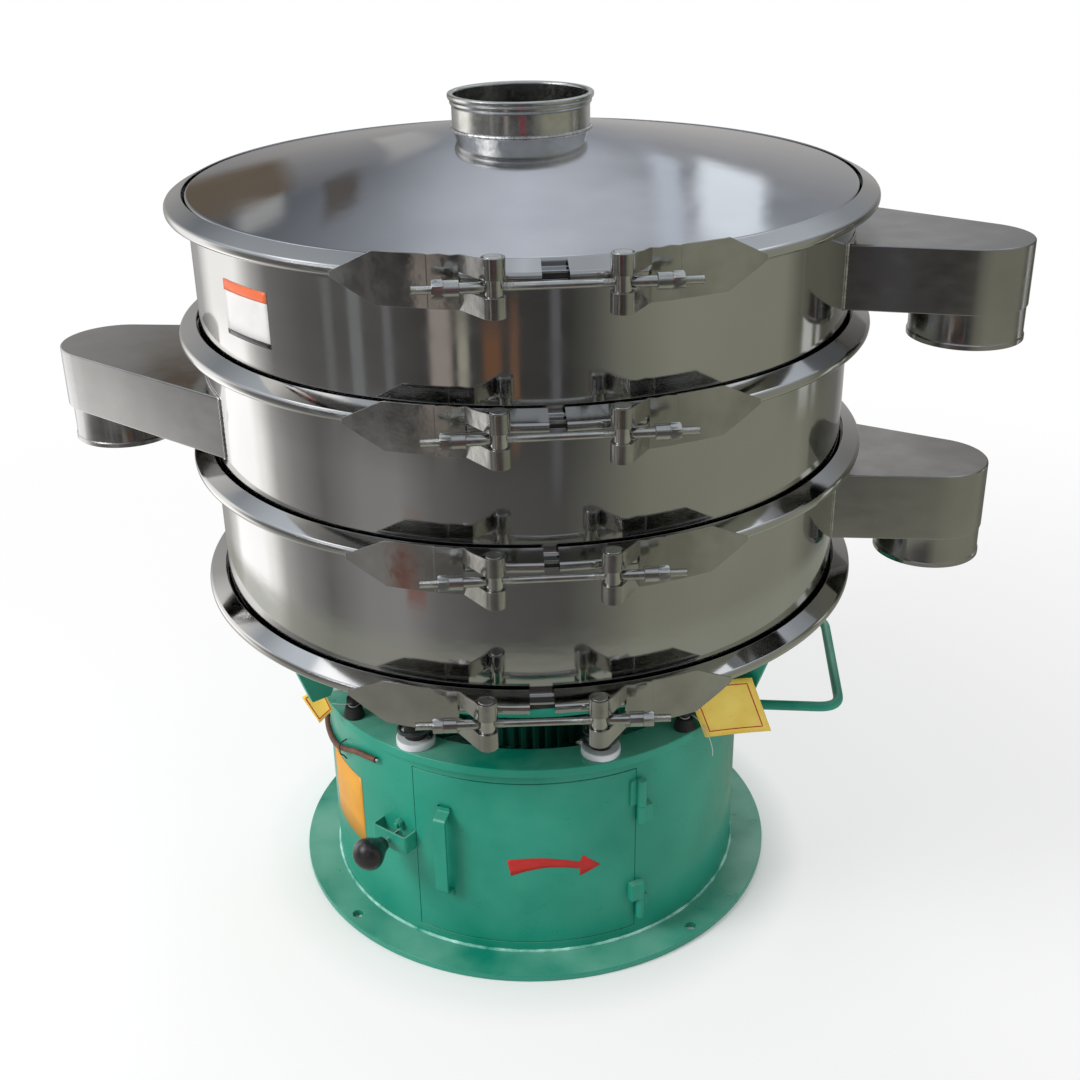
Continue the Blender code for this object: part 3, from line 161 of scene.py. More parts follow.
def rounded(corners, radius, steps=4, closed=True):
    """A line with its corners eased: each one becomes a parabola between points cut back along its two sides.

    One more point is set just past each end of the parabola, so that smooth shading stays off the flats.
    """
    corner = np.asarray(corners, float)
    before, after = np.roll(corner, 1, 0), np.roll(corner, -1, 0)
    if not closed:
        before[0], after[-1] = corner[0], corner[-1]
    size = np.broadcast_to(np.asarray(radius, float), len(corner))[:, None]

    def cut(other):
        way = other - corner
        length = np.linalg.norm(way, axis=1, keepdims=True)
        return corner + way / np.maximum(length, 1e-9) * np.minimum(size, 0.45 * length)

    t = np.linspace(0.0, 1.0, steps)[None, :, None]
    first, last, point = cut(before)[:, None], cut(after)[:, None], corner[:, None]
    eased = (1 - t) ** 2 * first + 2 * t * (1 - t) * point + t * t * last
    guards = first + 0.1 * (first - point), last + 0.1 * (last - point)
    return np.concatenate([guards[0], eased, guards[1]], axis=1).reshape(-1, corner.shape[1])


def swept(profile, azimuth):
    """The grid of a (radius, height) profile set out at every azimuth."""
    return about(profile[None, :, 0], azimuth[:, None], profile[None, :, 1])


def turned(profile, steps=144, centre=None):
    """A closed profile, running down the outer side, turned right round the axis or round another centre."""
    points = swept(profile, np.arange(steps) * 360.0 / steps)
    if centre is not None:
        points[..., :2] += np.asarray(centre) - AXIS
    return patch(points, loop_rows=True, loop_columns=True)


def carried(section, path, up, loop=False, size=None):
    """A closed section carried along a path: its two numbers go sideways and up, square to the path's direction."""
    ahead = np.roll(path, -1, 0) - np.roll(path, 1, 0)
    if not loop:
        ahead[0], ahead[-1] = path[1] - path[0], path[-1] - path[-2]
    ahead /= np.linalg.norm(ahead, axis=1, keepdims=True)
    side = np.cross(ahead, np.broadcast_to(up, path.shape))
    side /= np.linalg.norm(side, axis=1, keepdims=True)
    rise = np.cross(side, ahead)
    grown = section[None] * (np.ones(len(path)) if size is None else size)[:, None, None]
    points = path[:, None] + grown[..., :1] * side[:, None] + grown[..., 1:] * rise[:, None]
    return patch(points, loop_rows=loop, loop_columns=True, caps=not loop)


def angles(steps):
    """Even angles right round, in radians."""
    return np.arange(steps) * 2 * np.pi / steps


UP = (0.0, 0.0, 1.0)


def circle(radius, steps):
    """Points of a circle: radius times cosine and sine."""
    return radius * points_of(np.cos(angles(steps)), np.sin(angles(steps)))


def smooth_line(points, steps=6):
    """A curve through points: each span is the cubic whose slopes join its neighbours' (Catmull-Rom)."""
    p = np.vstack([2 * points[0] - points[1], points, 2 * points[-1] - points[-2]])
    t = (np.arange(steps) / steps)[None, :, None]
    a, b, c, d = p[:-3, None], p[1:-2, None], p[2:-1, None], p[3:, None]
    line = 0.5 * (2 * b + (c - a) * t + (2 * a - 5 * b + 4 * c - d) * t ** 2 + (3 * b - a - 3 * c + d) * t ** 3)
    return np.vstack([line.reshape(-1, points.shape[1]), points[-1:]])


print("a 3 by 4 grid has", len(cells(3, 4).reshape(-1, 4)), "cells")

# %% [markdown]
# ## Finishes
# Nothing on the machine is one flat colour: polished sheet shows slow waves and faint
# smears, paint has an orange-peel skin, and flat tops of paint are lighter, with dust
# and a painted sheen. Each finish below mixes two close colours by noise in the piece's
# own coordinates, varies the roughness by finer noise, and raises a little relief with Bump.

# %% A finish from noise
def new_material(name, shaded=True):
    """A material, its nodes and the call that links them; one that isn't shaded starts with only its output."""
    material = bpy.data.materials.new(name)
    material.use_nodes = True
    nodes, link = material.node_tree.nodes, material.node_tree.links.new
    if not shaded:
        nodes.remove(nodes["Principled BSDF"])
    return material, nodes, link


def add(nodes, kind, option=None, **inputs):
    """A new shader node: option is a setting with its value, inputs are set by name, where _ is a space."""
    item = nodes.new("ShaderNode" + kind)
    if option:
        setattr(item, *option)
    for key, value in inputs.items():
        item.inputs[key.replace("_", " ")].default_value = value
    return item


def finish(name, light, dark, rough, metallic=0.0, patch_size=5.0, grain=120.0, relief=0.0002, push=0.3,
           stretch=(1.0, 1.0, 1.0), coat=0.0, dust_and_sheen=None):
    """Colour goes from dark to light with slow noise; roughness and relief follow finer noise; upward faces turn
    lighter, with dust and a painted sheen.
    """
    material, nodes, link = new_material(name)
    shader = nodes["Principled BSDF"]
    for key, value in (("Metallic", metallic), ("Coat Weight", coat), ("Coat Roughness", 0.12)):
        shader.inputs[key].default_value = value
    place = add(nodes, "TexCoord").outputs["Object"]
    stretched = add(nodes, "Mapping", Scale=stretch)
    link(place, stretched.inputs["Vector"])

    def noise(scale, detail, vector):
        item = add(nodes, "TexNoise", Scale=scale, Detail=detail)
        link(vector, item.inputs["Vector"])
        return item.outputs["Fac"]

    fine = noise(grain, 3.0, stretched.outputs["Vector"])
    smear = noise(patch_size * 4.0, 5.0, stretched.outputs["Vector"])
    slow = add(nodes, "MapRange", From_Min=0.32, From_Max=0.68)
    link(noise(patch_size, 4.0, place), slow.inputs["Value"])
    tone = add(nodes, "Mix", ("data_type", "RGBA"), A=(*dark, 1.0), B=(*light, 1.0))
    link(slow.outputs["Result"], tone.inputs["Factor"])
    colour = tone.outputs["Result"]
    # Upward faces are mixed towards a lighter colour: dust, together with a painted sheen where light falls on tops.
    if dust_and_sheen:
        split = add(nodes, "SeparateXYZ")
        flat = add(nodes, "MapRange", From_Min=0.75, From_Max=1.0, To_Min=0.05)
        patchy = add(nodes, "Math", ("operation", "MULTIPLY"))
        top_dust_and_sheen = add(nodes, "Mix", ("data_type", "RGBA"), B=(*dust_and_sheen, 1.0))
        link(add(nodes, "NewGeometry").outputs["Normal"], split.inputs["Vector"])
        link(split.outputs["Z"], flat.inputs["Value"])
        link(flat.outputs["Result"], patchy.inputs[0])
        link(slow.outputs["Result"], patchy.inputs[1])
        link(patchy.outputs["Value"], top_dust_and_sheen.inputs["Factor"])
        link(colour, top_dust_and_sheen.inputs["A"])
        colour = top_dust_and_sheen.outputs["Result"]
    link(colour, shader.inputs["Base Color"])
    gloss = add(nodes, "MapRange", From_Min=0.3, From_Max=0.7, To_Min=rough[0], To_Max=rough[1])
    link(smear, gloss.inputs["Value"])
    link(gloss.outputs["Result"], shader.inputs["Roughness"])
    bump = add(nodes, "Bump", Strength=push, Distance=relief)
    link(fine, bump.inputs["Height"])
    link(bump.outputs["Normal"], shader.inputs["Normal"])
    return material


# %% The machine's finishes
# Each row: light and dark colour, roughness range, metal or not, scale of the slow and the fine noise,
# height of the relief in metres and its strength, then the stretch of the fine noise where it has one.
MIRROR = finish("mirror_steel", (0.60, 0.60, 0.59), (0.54, 0.54, 0.53), (0.045, 0.12), 1.0, 3.0, 9.0, 0.002, 0.10,
                (1.0, 1.0, 2.0))
STRAP = finish("strap_steel", (0.50, 0.50, 0.48), (0.38, 0.37, 0.35), (0.08, 0.22), 1.0, 14.0, 26.0, 0.004, 0.22)
SATIN = finish("satin_steel", (0.47, 0.465, 0.46), (0.38, 0.375, 0.37), (0.10, 0.22), 1.0, 6.0, 90.0, 0.0003, 0.06,
               (1.0, 1.0, 2.5))
LID_STEEL = finish("lid_steel", (0.60, 0.60, 0.62), (0.53, 0.53, 0.55), (0.05, 0.13), 1.0, 2.5, 6.0, 0.004, 0.14)
BRIGHT = finish("bright_steel", (0.68, 0.68, 0.66), (0.55, 0.55, 0.52), (0.10, 0.20), 1.0, 40.0, 500.0, 0.0002, 0.2)
# The green enamel's lighter colour on upward faces stands for dust and for a painted sheen together.
GREEN = finish("green_enamel", (0.012, 0.290, 0.196), (0.004, 0.225, 0.148), (0.26, 0.42), 0.0, 7.0, 420.0, 0.0004,
               0.25, coat=0.10, dust_and_sheen=(0.150, 0.41, 0.310))
# The floor weld's pale patches are partly painted glints on its ripples, over the weld's own mottled green.
WELD = finish("green_weld_with_glints", (0.50, 0.85, 0.76), (0.020, 0.30, 0.21), (0.10, 0.30), 0.0, 30.0, 300.0, 0.001, 0.5)
STEEL_WELD = finish("steel_weld", (0.70, 0.70, 0.70), (0.42, 0.41, 0.40), (0.2, 0.4), 1.0, 60.0, 400.0, 0.001, 0.5)
# A much darker copy of the green enamel for the motor: painted shade for its place under the table.
SHADED_GREEN = finish("shaded_green_enamel", (0.006, 0.110, 0.075), (0.003, 0.070, 0.048), (0.40, 0.60), 0.0, 8.0, 300.0,
                    0.0004, 0.3)
SPRING = finish("black_spring", (0.030, 0.030, 0.032), (0.010, 0.010, 0.011), (0.25, 0.45), 0.0, 60.0, 600.0, 0.0003,
                0.4, coat=0.3)
NYLON = finish("white_nylon", (0.66, 0.67, 0.69), (0.52, 0.53, 0.56), (0.4, 0.55), 0.0, 30.0, 300.0, 0.0002, 0.3)
RUBBER = finish("black_rubber", (0.022, 0.021, 0.020), (0.010, 0.010, 0.010), (0.6, 0.8), 0.0, 50.0, 700.0, 0.0004,
                0.4)
PHENOLIC = finish("black_phenolic", (0.020, 0.018, 0.020), (0.010, 0.009, 0.010), (0.18, 0.30), 0.0, 30.0, 500.0,
                  0.0001, 0.2, coat=0.4)
SHEATH = finish("brown_sheath", (0.16, 0.060, 0.035), (0.09, 0.032, 0.020), (0.45, 0.65), 0.0, 60.0, 700.0, 0.0003,
                0.4)
MESH = finish("screen_mesh", (0.55, 0.55, 0.54), (0.20, 0.20, 0.20), (0.3, 0.5), 1.0, 900.0, 1200.0, 0.0006, 0.9)
RED = finish("red_paint", (0.50, 0.014, 0.011), (0.42, 0.010, 0.008), (0.35, 0.5), 0.0, 30.0, 500.0, 0.0002, 0.3)
ORANGE = finish("orange_label", (0.72, 0.34, 0.022), (0.66, 0.28, 0.016), (0.35, 0.5), 0.0, 20.0, 300.0, 0.0001, 0.2)
YELLOW = finish("yellow_tag", (0.88, 0.66, 0.13), (0.80, 0.54, 0.07), (0.25, 0.4), 0.0, 25.0, 200.0, 0.0002, 0.3)
WHITE = finish("white_label", (0.62, 0.61, 0.60), (0.55, 0.54, 0.53), (0.3, 0.45), 0.0, 30.0, 300.0, 0.0001, 0.2)
BAND_RED = finish("label_band", (0.66, 0.12, 0.03), (0.58, 0.10, 0.025), (0.3, 0.45), 0.0, 30.0, 300.0, 0.0001, 0.2)
print("materials:", len(bpy.data.materials))

# %% [markdown]
# ## The lid and its inlet
# The lid is a shallow cone spun from sheet, turned out into a flange at its rim. A pipe
# ferrule with a rolled lip is welded into the hole. Both are profiles turned about the
# axis; the corners of the profile are eased so that each bend catches a line of light.

# %% Lid
CROWN = 1.1735  # where the cone's top meets the inlet
lid_profile = rounded([
    (0.0958, CROWN), (0.4618, 1.1084), (0.4638, 1.0991), (FLANGE, 1.0991), (FLANGE, 1.0961),
    (0.4608, 1.0961), (0.4592, 1.1056), (0.0958, CROWN - SHEET),
], (0.001, 0.004, 0.001, 0.001, 0.001, 0.001, 0.003, 0.001), 6)
build("lid_cone", [turned(lid_profile, 192)], LID_STEEL, "sieve", ["lid"])
print("lid profile points:", len(lid_profile))

# %% Inlet ferrule and the weld at its foot
ferrule_profile = rounded([
    (0.1005, 1.2201), (0.1005, 1.2141), (0.0975, 1.2111), (0.0975, 1.2071), (0.0950, 1.2041),
    (0.0950, 1.1600), (0.0920, 1.1600), (0.0920, 1.2180), (0.0940, 1.2201),
], (0.0026, 0.0025, 0.001, 0.001, 0.002, 0.0005, 0.0005, 0.002, 0.001), 6)
build("inlet_pipe", [turned(ferrule_profile, 128)], BRIGHT, "sieve", ["inlet_ferrule"])


SLOW_WAVES = 37  # of a weld bead's size, once round the machine


def tube(radius, steps, path, up=UP, **more):
    """A round section carried along a path."""
    return carried(circle(radius, steps), path, up, **more)


def bead(radius, height, size, ripple=0.12, steps=720, waves=95):
    """A weld bead: a small circle carried round the axis, its size swelling and shrinking with two sines."""
    azimuth = np.arange(steps) * 360.0 / steps
    turn = np.radians(azimuth)
    swell = 1.0 + ripple * np.sin(waves * turn) + 0.7 * ripple * np.sin(SLOW_WAVES * turn + 1.0)
    return tube(size, 8, about(radius, azimuth, height), loop=True, size=swell)


build("inlet_weld", [bead(0.0962, CROWN + 0.0002, 0.0022, 0.04, waves=61)], STEEL_WELD, "sieve")

# %% [markdown]
# ## Decks
# A deck is a rolled shell with a flange turned out at each end, and a window cut where the
# discharge spout leaves it. The shell is a turned sheet whose columns are placed so that
# the window's edges fall on them; the cells inside the window are left out, and Solidify
# gives what is left its wall.

# %% Spout sizes
SPOUT_AZIMUTHS = (76.2, -95.5, 84.5)  # one value per deck, the upper deck's first
SPOUT_TOPS = (1.0470, 0.8610, 0.6940)
SPOUT_HEIGHTS = (0.088, 0.088, 0.100)
SPOUT_REACHES = (0.616, 0.6168, 0.606)  # from the machine's axis to the outlet's
SPOUT_RADII = (0.078, 0.082, 0.078)
SPOUT_FLARES = (25.5, 33.0, 25.5)  # degrees between the flared side and the spout's line
SPOUT_WALL = 0.0025
OUTLET = 0.0762  # the pipe's radius
OUTLET_LENGTHS = (0.047, 0.055, 0.046)


def flare_at_shell(index, shell=SHELL):
    """Where the flared side meets the shell: its straight line is followed until it is shell away from the axis."""
    flare = math.radians(SPOUT_FLARES[index])
    x_end = SPOUT_REACHES[index] + SPOUT_RADII[index] * math.sin(flare)
    y_end = SPOUT_RADII[index] * math.cos(flare)
    x = shell
    for _ in range(40):
        y = y_end + (x_end - x) * math.tan(flare)
        x = math.sqrt(shell ** 2 - y ** 2)
    return x, y


# %% Deck shells with their windows
def columns_with(edges, steps):
    """Azimuths right round, one on each of the edges and none of the others within 0.4 degrees of it."""
    edges = np.array(edges) % 360.0
    even = np.arange(steps) * 360.0 / steps
    return np.sort(np.concatenate([even[np.abs(even[:, None] - edges).min(axis=1) > 0.4], edges]))


def outside(columns, levels, left, right, low, high):
    """Which cells of a rolled sheet stay: a cell in the opening has its middle between its azimuths and heights."""
    middle = (columns + (np.roll(columns, -1) - columns) % 360.0 / 2)[:, None]
    level = ((levels[:-1] + levels[1:]) / 2)[None, :]
    return ~(((middle - left) % 360.0 < right - left) & (level < high) & (level > low))


for index in range(3):
    top, bottom = JOINTS[index] - FLANGE_OFF - SHEET, JOINTS[index + 1] + FLANGE_OFF + SHEET
    window_top = SPOUT_TOPS[index] - SPOUT_WALL
    window_low = SPOUT_TOPS[index] - SPOUT_HEIGHTS[index] + SPOUT_WALL
    left = SPOUT_AZIMUTHS[index] - math.degrees(math.asin((SPOUT_RADII[index] - SPOUT_WALL) / SHELL))
    right = SPOUT_AZIMUTHS[index] + math.degrees(math.asin((flare_at_shell(index)[1] - SPOUT_WALL) / SHELL))
    azimuth = columns_with((left, right), 192)
    profile = rounded([(FLANGE, top), (SHELL, top), (SHELL, window_top), (SHELL, window_low), (SHELL, bottom),
                       (FLANGE, bottom)], (0.0, 0.004, 0.0, 0.0, 0.004, 0.0), 5, closed=False)
    keep = outside(azimuth, profile[:, 1], left, right, window_low, window_top)
    shell = patch(swept(profile, azimuth), loop_rows=True, keep=keep)
    build(f"deck_shell_{index + 1}", [shell], MIRROR, "sieve", [f"deck_{index + 1}"], SHEET,
          bevel=0.0004)
    print("deck", index + 1, "window from", round(left, 1), "to", round(right, 1), "degrees")

# %% Domed floor of the lowest deck
dome = rounded([(0.0, 0.634), (0.229, 0.6214), (0.4572, 0.589), (0.4572, 0.586), (0.229, 0.6184), (0.0, 0.631)],
               (0.0, 0.15, 0.001, 0.001, 0.15, 0.0), 8, closed=False)
build("deck_floor", [turned(dome, 96)], SATIN, "sieve")

# %% [markdown]
# ## Discharge spouts
# Seen from above, a spout is straight on one side, flared on the other and round at its
# end, with a short pipe under the round end. The whole skin is one grid: one number runs
# round the outline, the other runs from the middle of the top, over the edge, down the
# side, under the bottom and down the pipe to its lip.

# %% Spout skins
UPPER_EDGE, LOWER_EDGE, GUARD = 0.0022, 0.0012, 0.0005  # eased edges, and the points that keep the flats flat


def spout_grid(index):
    """Rows follow the outline, columns go from the top's spine over the side to the pipe's lip."""
    reach, radius, flare = SPOUT_REACHES[index], SPOUT_RADII[index], math.radians(SPOUT_FLARES[index])
    height, length = SPOUT_HEIGHTS[index], OUTLET_LENGTHS[index]
    shell = SHELL + 0.0004
    x_flare, y_flare = flare_at_shell(index, shell)
    last = math.pi / 2 - flare
    arc, back = np.linspace(-math.pi / 2, last, 29), np.linspace(0.0, 1.0, 13)[1:]
    y_left, y_right = np.linspace(0.0, -radius, 9), np.linspace(y_flare, 0.0, 11)
    x_end, y_end = reach + radius * math.cos(last), radius * math.sin(last)
    spine = np.linspace(shell, reach, 13)
    # Five runs of the outline: place, direction outwards, angle round the pipe, and place on the top's spine.
    runs = [
        (np.sqrt(shell ** 2 - y_left ** 2), y_left, 0.0, 0.0, np.linspace(-math.pi, -2.6, 9), shell),
        (np.linspace(math.sqrt(shell ** 2 - radius ** 2), reach, 13)[:-1], -radius, 0.0, -1.0,
         np.linspace(-2.5, -math.pi / 2, 13)[:-1], spine[:-1]),
        (reach + radius * np.cos(arc), radius * np.sin(arc), np.cos(arc), np.sin(arc), arc, reach),
        (x_end + (x_flare - x_end) * back, y_end + (y_flare - y_end) * back, math.sin(flare), math.cos(flare),
         np.linspace(last, 2.5, 13)[1:], spine[::-1][1:]),
        (np.sqrt(shell ** 2 - y_right ** 2), y_right, 0.0, 0.0, np.linspace(2.6, math.pi, 11), shell),
    ]
    x, y, out_x, out_y, turn, spine = np.concatenate([points_of(*run) for run in runs]).T

    quarter = np.linspace(0, math.pi / 2, 4)
    inset = [(UPPER_EDGE + GUARD, 0.0)]
    inset += [(UPPER_EDGE * (1 - math.sin(step)), -UPPER_EDGE * (1 - math.cos(step))) for step in quarter]
    inset += [(0.0, -UPPER_EDGE - GUARD), (0.0, -height + LOWER_EDGE + GUARD)]
    inset += [(LOWER_EDGE * (1 - math.cos(step)), -height + LOWER_EDGE * (1 - math.sin(step)))
              for step in np.linspace(0, math.pi / 2, 3)]
    inset += [(LOWER_EDGE + GUARD, -height)]
    lip = -height - length
    pipe = [(OUTLET, -height), (OUTLET, lip + 0.0085), (OUTLET + 0.0004, lip + 0.0072),
            (OUTLET + 0.0015, lip + 0.0058), (OUTLET + 0.0015, lip)]
    columns = [points_of(0.0 * y, spine, 0.0)]
    columns += [points_of(y - step * out_y, x - step * out_x, depth) for step, depth in inset]
    columns += [points_of(r * np.sin(turn), reach + r * np.cos(turn), depth) for r, depth in pipe]
    local = np.stack(columns, axis=1) + (0.0, 0.0, SPOUT_TOPS[index])
    keep = np.ones((local.shape[0] - 1, local.shape[1] - 1), bool)
    for against_shell in (slice(None, len(y_left) - 1), slice(1 - len(y_right), None)):
        keep[against_shell, 2:len(inset) - 1] = False
    return facing(local, SPOUT_AZIMUTHS[index]), keep


for index in range(3):
    points, keep = spout_grid(index)
    skin = patch(points, keep=keep)
    build(f"spout_skin_{index + 1}", [skin], SATIN, "sieve", [f"spout_{index + 1}"], SPOUT_WALL,
          bevel=0.0004)
    top, low = SPOUT_TOPS[index], SPOUT_TOPS[index] - SPOUT_HEIGHTS[index]
    root = SHELL + 0.0008
    start, end = (root * (math.asin(y / root) + math.radians(SPOUT_AZIMUTHS[index]))
                  for y in (-SPOUT_RADII[index], flare_at_shell(index)[1]))
    seam = rounded([(start, top), (end, top), (end, low), (start, low)], 0.003, 5)
    seam = np.vstack([seam, seam[:1]])
    run = np.concatenate([[0.0], np.cumsum(np.linalg.norm(np.diff(seam, axis=0), axis=1))])
    even = np.linspace(0.0, run[-1], 360, endpoint=False)
    seam = np.stack([np.degrees(np.interp(even, run, seam[:, 0]) / root), np.interp(even, run, seam[:, 1])], axis=-1)
    path = about(root, seam[:, 0], seam[:, 1])
    wave = 1.0 + 0.2 * np.sin(np.arange(len(path)) * 1.9)
    outward = about(1.0, seam[:, 0], 0.0) - about(0.0, seam[:, 0], 0.0)
    build(f"spout_weld_{index + 1}", [tube(0.0016, 6, path, outward, loop=True, size=wave)],
          STEEL_WELD, "sieve")
    print("spout", index + 1, "grid", points.shape[:2])

# %% [markdown]
# ## Clamp bands
# Each joint is closed by a band of V section that pulls two flanges onto a gasket. It stops
# short of a full circle, so its section is carried round from one side of the gap to the
# other and closed at both ends.

# %% Bands
CLAMP_AZIMUTHS = (4.1, 4.2, 3.1, 1.4)
BAND_GAPS = (0.031, 0.021, 0.019, 0.032)
NOSE = 0.490  # the band's outermost radius
PIN_REACH, PIN_X = 0.515, 0.070  # a pin stands this far out from the axis, and this far across
band_section = rounded([
    (0.4650, 0.0170), (NOSE, 0.0050), (NOSE, -0.0050), (0.4650, -0.0170),
    (0.4650, -0.0142), (0.4875, -0.0034), (0.4875, 0.0034), (0.4650, 0.0142),
], (0.0008, 0.004, 0.004, 0.0008, 0.0008, 0.003, 0.003, 0.0008), 4)
for number, (joint, azimuth, gap) in enumerate(zip(JOINTS, CLAMP_AZIMUTHS, BAND_GAPS), start=1):
    half = math.degrees(gap / 2 / NOSE)
    around = np.linspace(azimuth + half, azimuth + 360.0 - half, 217)
    ring = patch(swept(band_section + (0.0, joint), around), loop_columns=True, caps=True)
    build(f"band_ring_{number}", [ring], MIRROR, "sieve",
          [f"clamp_band_{number}"], angle=50.0)

# %% [markdown]
# ## Straps
# A strap is a pointed plate on the band whose slotted end is rolled round an upright pin.
# Its line, seen from above, is an arc, a straight run that leaves the arc, and most of a
# circle round the pin; its upper and lower edges widen along that line. The slot lets the
# tie rod through.

# %% Straps rolled round their pins
PIN_RADIUS = 0.0103
BAND_EDGES, STRAP_EDGES = (-0.0055, 0.0005), (-0.0335, 0.0285)  # heights of the strap's edges at its tip and roll
SLOT = 0.0095  # half the height of the slot that the tie rod goes through


def strap_grid(sign):
    """Rows follow the strap from its tip to the end of its roll, columns go from its lower to its upper edge."""
    turn = np.array([30.5, 29.0, 27.0, 25.0, 24.0, 22.0, 20.0, 18.0, 16.6, 16.5, 15.0, 13.5, 12.4])
    lapped = turn < 16.55  # from here to the pin the sheet lies double, a step further out
    middle = NOSE + 0.0018 + 0.0012 * lapped
    x, out = middle * np.sin(np.radians(turn)), middle * np.cos(np.radians(turn))
    roll, start = PIN_RADIUS + 0.0003 + SHEET / 2, math.radians(31.0)
    round_pin = start + np.linspace(0.0, math.radians(318.0), 29)
    circle_x, circle_out = PIN_X + roll * np.cos(round_pin), PIN_REACH + roll * np.sin(round_pin)
    t = np.linspace(0.0, 1.0, 9)[1:-1]
    run_x, run_out = x[-1] + (circle_x[0] - x[-1]) * t, out[-1] + (circle_out[0] - out[-1]) * t
    x, out = np.concatenate([x, run_x, circle_x]), np.concatenate([out, run_out, circle_out])
    rest = np.ones(36)
    wide = np.concatenate([np.clip((30.5 - turn) / 6.5, 0.0, 1.0), rest])
    slotted = np.concatenate([np.clip((24.0 - turn) / 6.0, 0.0, 1.0), rest])[:, None]
    knuckle = np.concatenate([np.zeros(13), t, np.ones(29)])
    wavy = 0.0007 * np.sin(x * 260.0) * np.concatenate([lapped, rest])
    low, high = (tip + (end - tip) * wide for tip, end in zip(BAND_EDGES, STRAP_EDGES))
    high = high + 0.005 * knuckle + wavy * (1 - knuckle)
    even = low[:, None] + (high - low)[:, None] * np.linspace(0.0, 1.0, 6)
    t = np.array([0.0, 0.5, 1.0])
    below = low[:, None] + (-SLOT - low)[:, None] * t
    above = SLOT + (high - SLOT)[:, None] * t
    height = even * (1 - slotted) + np.concatenate([below, above], axis=1) * slotted
    local = points_of(sign * x[:, None], out[:, None], height)
    keep = np.ones((len(x) - 1, 5), bool)
    keep[12:, 2] = False
    return local, keep


for number, (joint, azimuth) in enumerate(zip(JOINTS, CLAMP_AZIMUTHS), start=1):
    for side, sign in (("left", -1), ("right", 1)):
        local, keep = strap_grid(sign)
        strap = patch(facing(local + (0.0, 0.0, joint), azimuth), keep=keep)
        build(f"strap_{number}_{side}", [strap], STRAP, "sieve", (), SHEET, 0.0,
              angle=40.0, bevel=0.0005)
print("strap grid:", local.shape[:2])

# %% [markdown]
# ## Pins, tie rods and nuts
# A threaded rod passes through both pins, and sleeve nuts draw them together. A thread is a
# radius that rises and falls along the rod and turns with the angle; a hexagon is a radius
# that depends on the angle alone, held back near its ends by a chamfer.

# %% Hardware shapes
NUT_FLATS = 0.019  # a hexagon across its flats
ROD_RADIUS, THREAD_DEPTH = 0.0052, 0.0006
ROD_END, THREAD_START = 0.159, 0.048  # on both sides of the clamp's middle


def stud(radius, high, low, eased, steps=4):
    """Half the outline of a round piece: from its line out over one eased edge, along, and back in."""
    return rounded([(0.0, high), (radius, high), (radius, low), (0.0, low)], (0, *eased, 0), steps, False)


def hexagon(flats):
    """A hexagon's radius at 48 even angles: half its flats over the cosine to the middle of the nearest flat."""
    return flats / 2 / np.cos((angles(48) + np.pi / 6) % (np.pi / 3) - np.pi / 6)


def pin_shape(x):
    """An upright pin with eased ends, turned about its own axis, which stands x across from the clamp's middle."""
    line, angle = stud(PIN_RADIUS, 0.034, -0.034, (0.0012, 0.0012))[None], angles(32)[:, None]
    return points_of(x + line[..., 0] * np.cos(angle), PIN_REACH + line[..., 0] * np.sin(angle), line[..., 1])


def lathe(x, radius, steps):
    """Rings along the rod at x, whose radius may depend on the angle; they stand about the rod's own line."""
    angle = angles(steps)
    return points_of(np.asarray(x)[:, None], PIN_REACH + radius * np.cos(angle), radius * np.sin(angle))


def thread(start, end, pitch=0.0015, steps=12):
    """A V thread: the rod's radius less up to the thread's depth, by how far x and the angle are into one pitch."""
    x = np.arange(start, end, pitch / 4)
    phase = (x[:, None] / pitch - np.arange(steps)[None, :] / steps) % 1.0
    fade = np.clip(np.minimum(x - start, end - x) / pitch, 0.15, 1.0)[:, None]
    return x, ROD_RADIUS - THREAD_DEPTH * fade * np.abs(2 * phase - 1)


def rod_shape():
    """The rod: threads at both ends up to its middle third, which is plain and a little thinner."""
    x_left, left = thread(-ROD_END, -THREAD_START)
    x_right, right = thread(THREAD_START, ROD_END)
    x = np.concatenate([x_left, [-0.0475, 0.0475], x_right])
    radius = np.concatenate([left, np.full((2, 12), 0.0047), right])
    return patch(lathe(x, radius, 12), loop_columns=True, caps=True)


def nut_shape(sign):
    """Sleeve, collar and hexagon as rings; the hexagon's corners are cut back near its two faces."""
    plan = [(0.0806, 0.0055), (0.0806, 0.0060), (0.0812, 0.0064), (0.1069, 0.0064), (0.1071, 0.0090),
            (0.1078, 0.0098), (0.1236, 0.0098), (0.1241, 0.0092)]
    corners = [(0.1242, 0.0096), (0.1252, 0.0112), (0.1360, 0.0112), (0.1371, 0.0097)]
    rings = [(x, np.full(48, radius)) for x, radius in plan]
    rings += [(x, np.minimum(hexagon(NUT_FLATS), limit)) for x, limit in corners]
    rings += [(0.1371, np.full(48, 0.0058)), (0.1366, np.full(48, 0.0055))]
    local = lathe([x for x, _ in rings], np.stack([radius for _, radius in rings]), 48)
    local[..., 0] *= sign
    return local


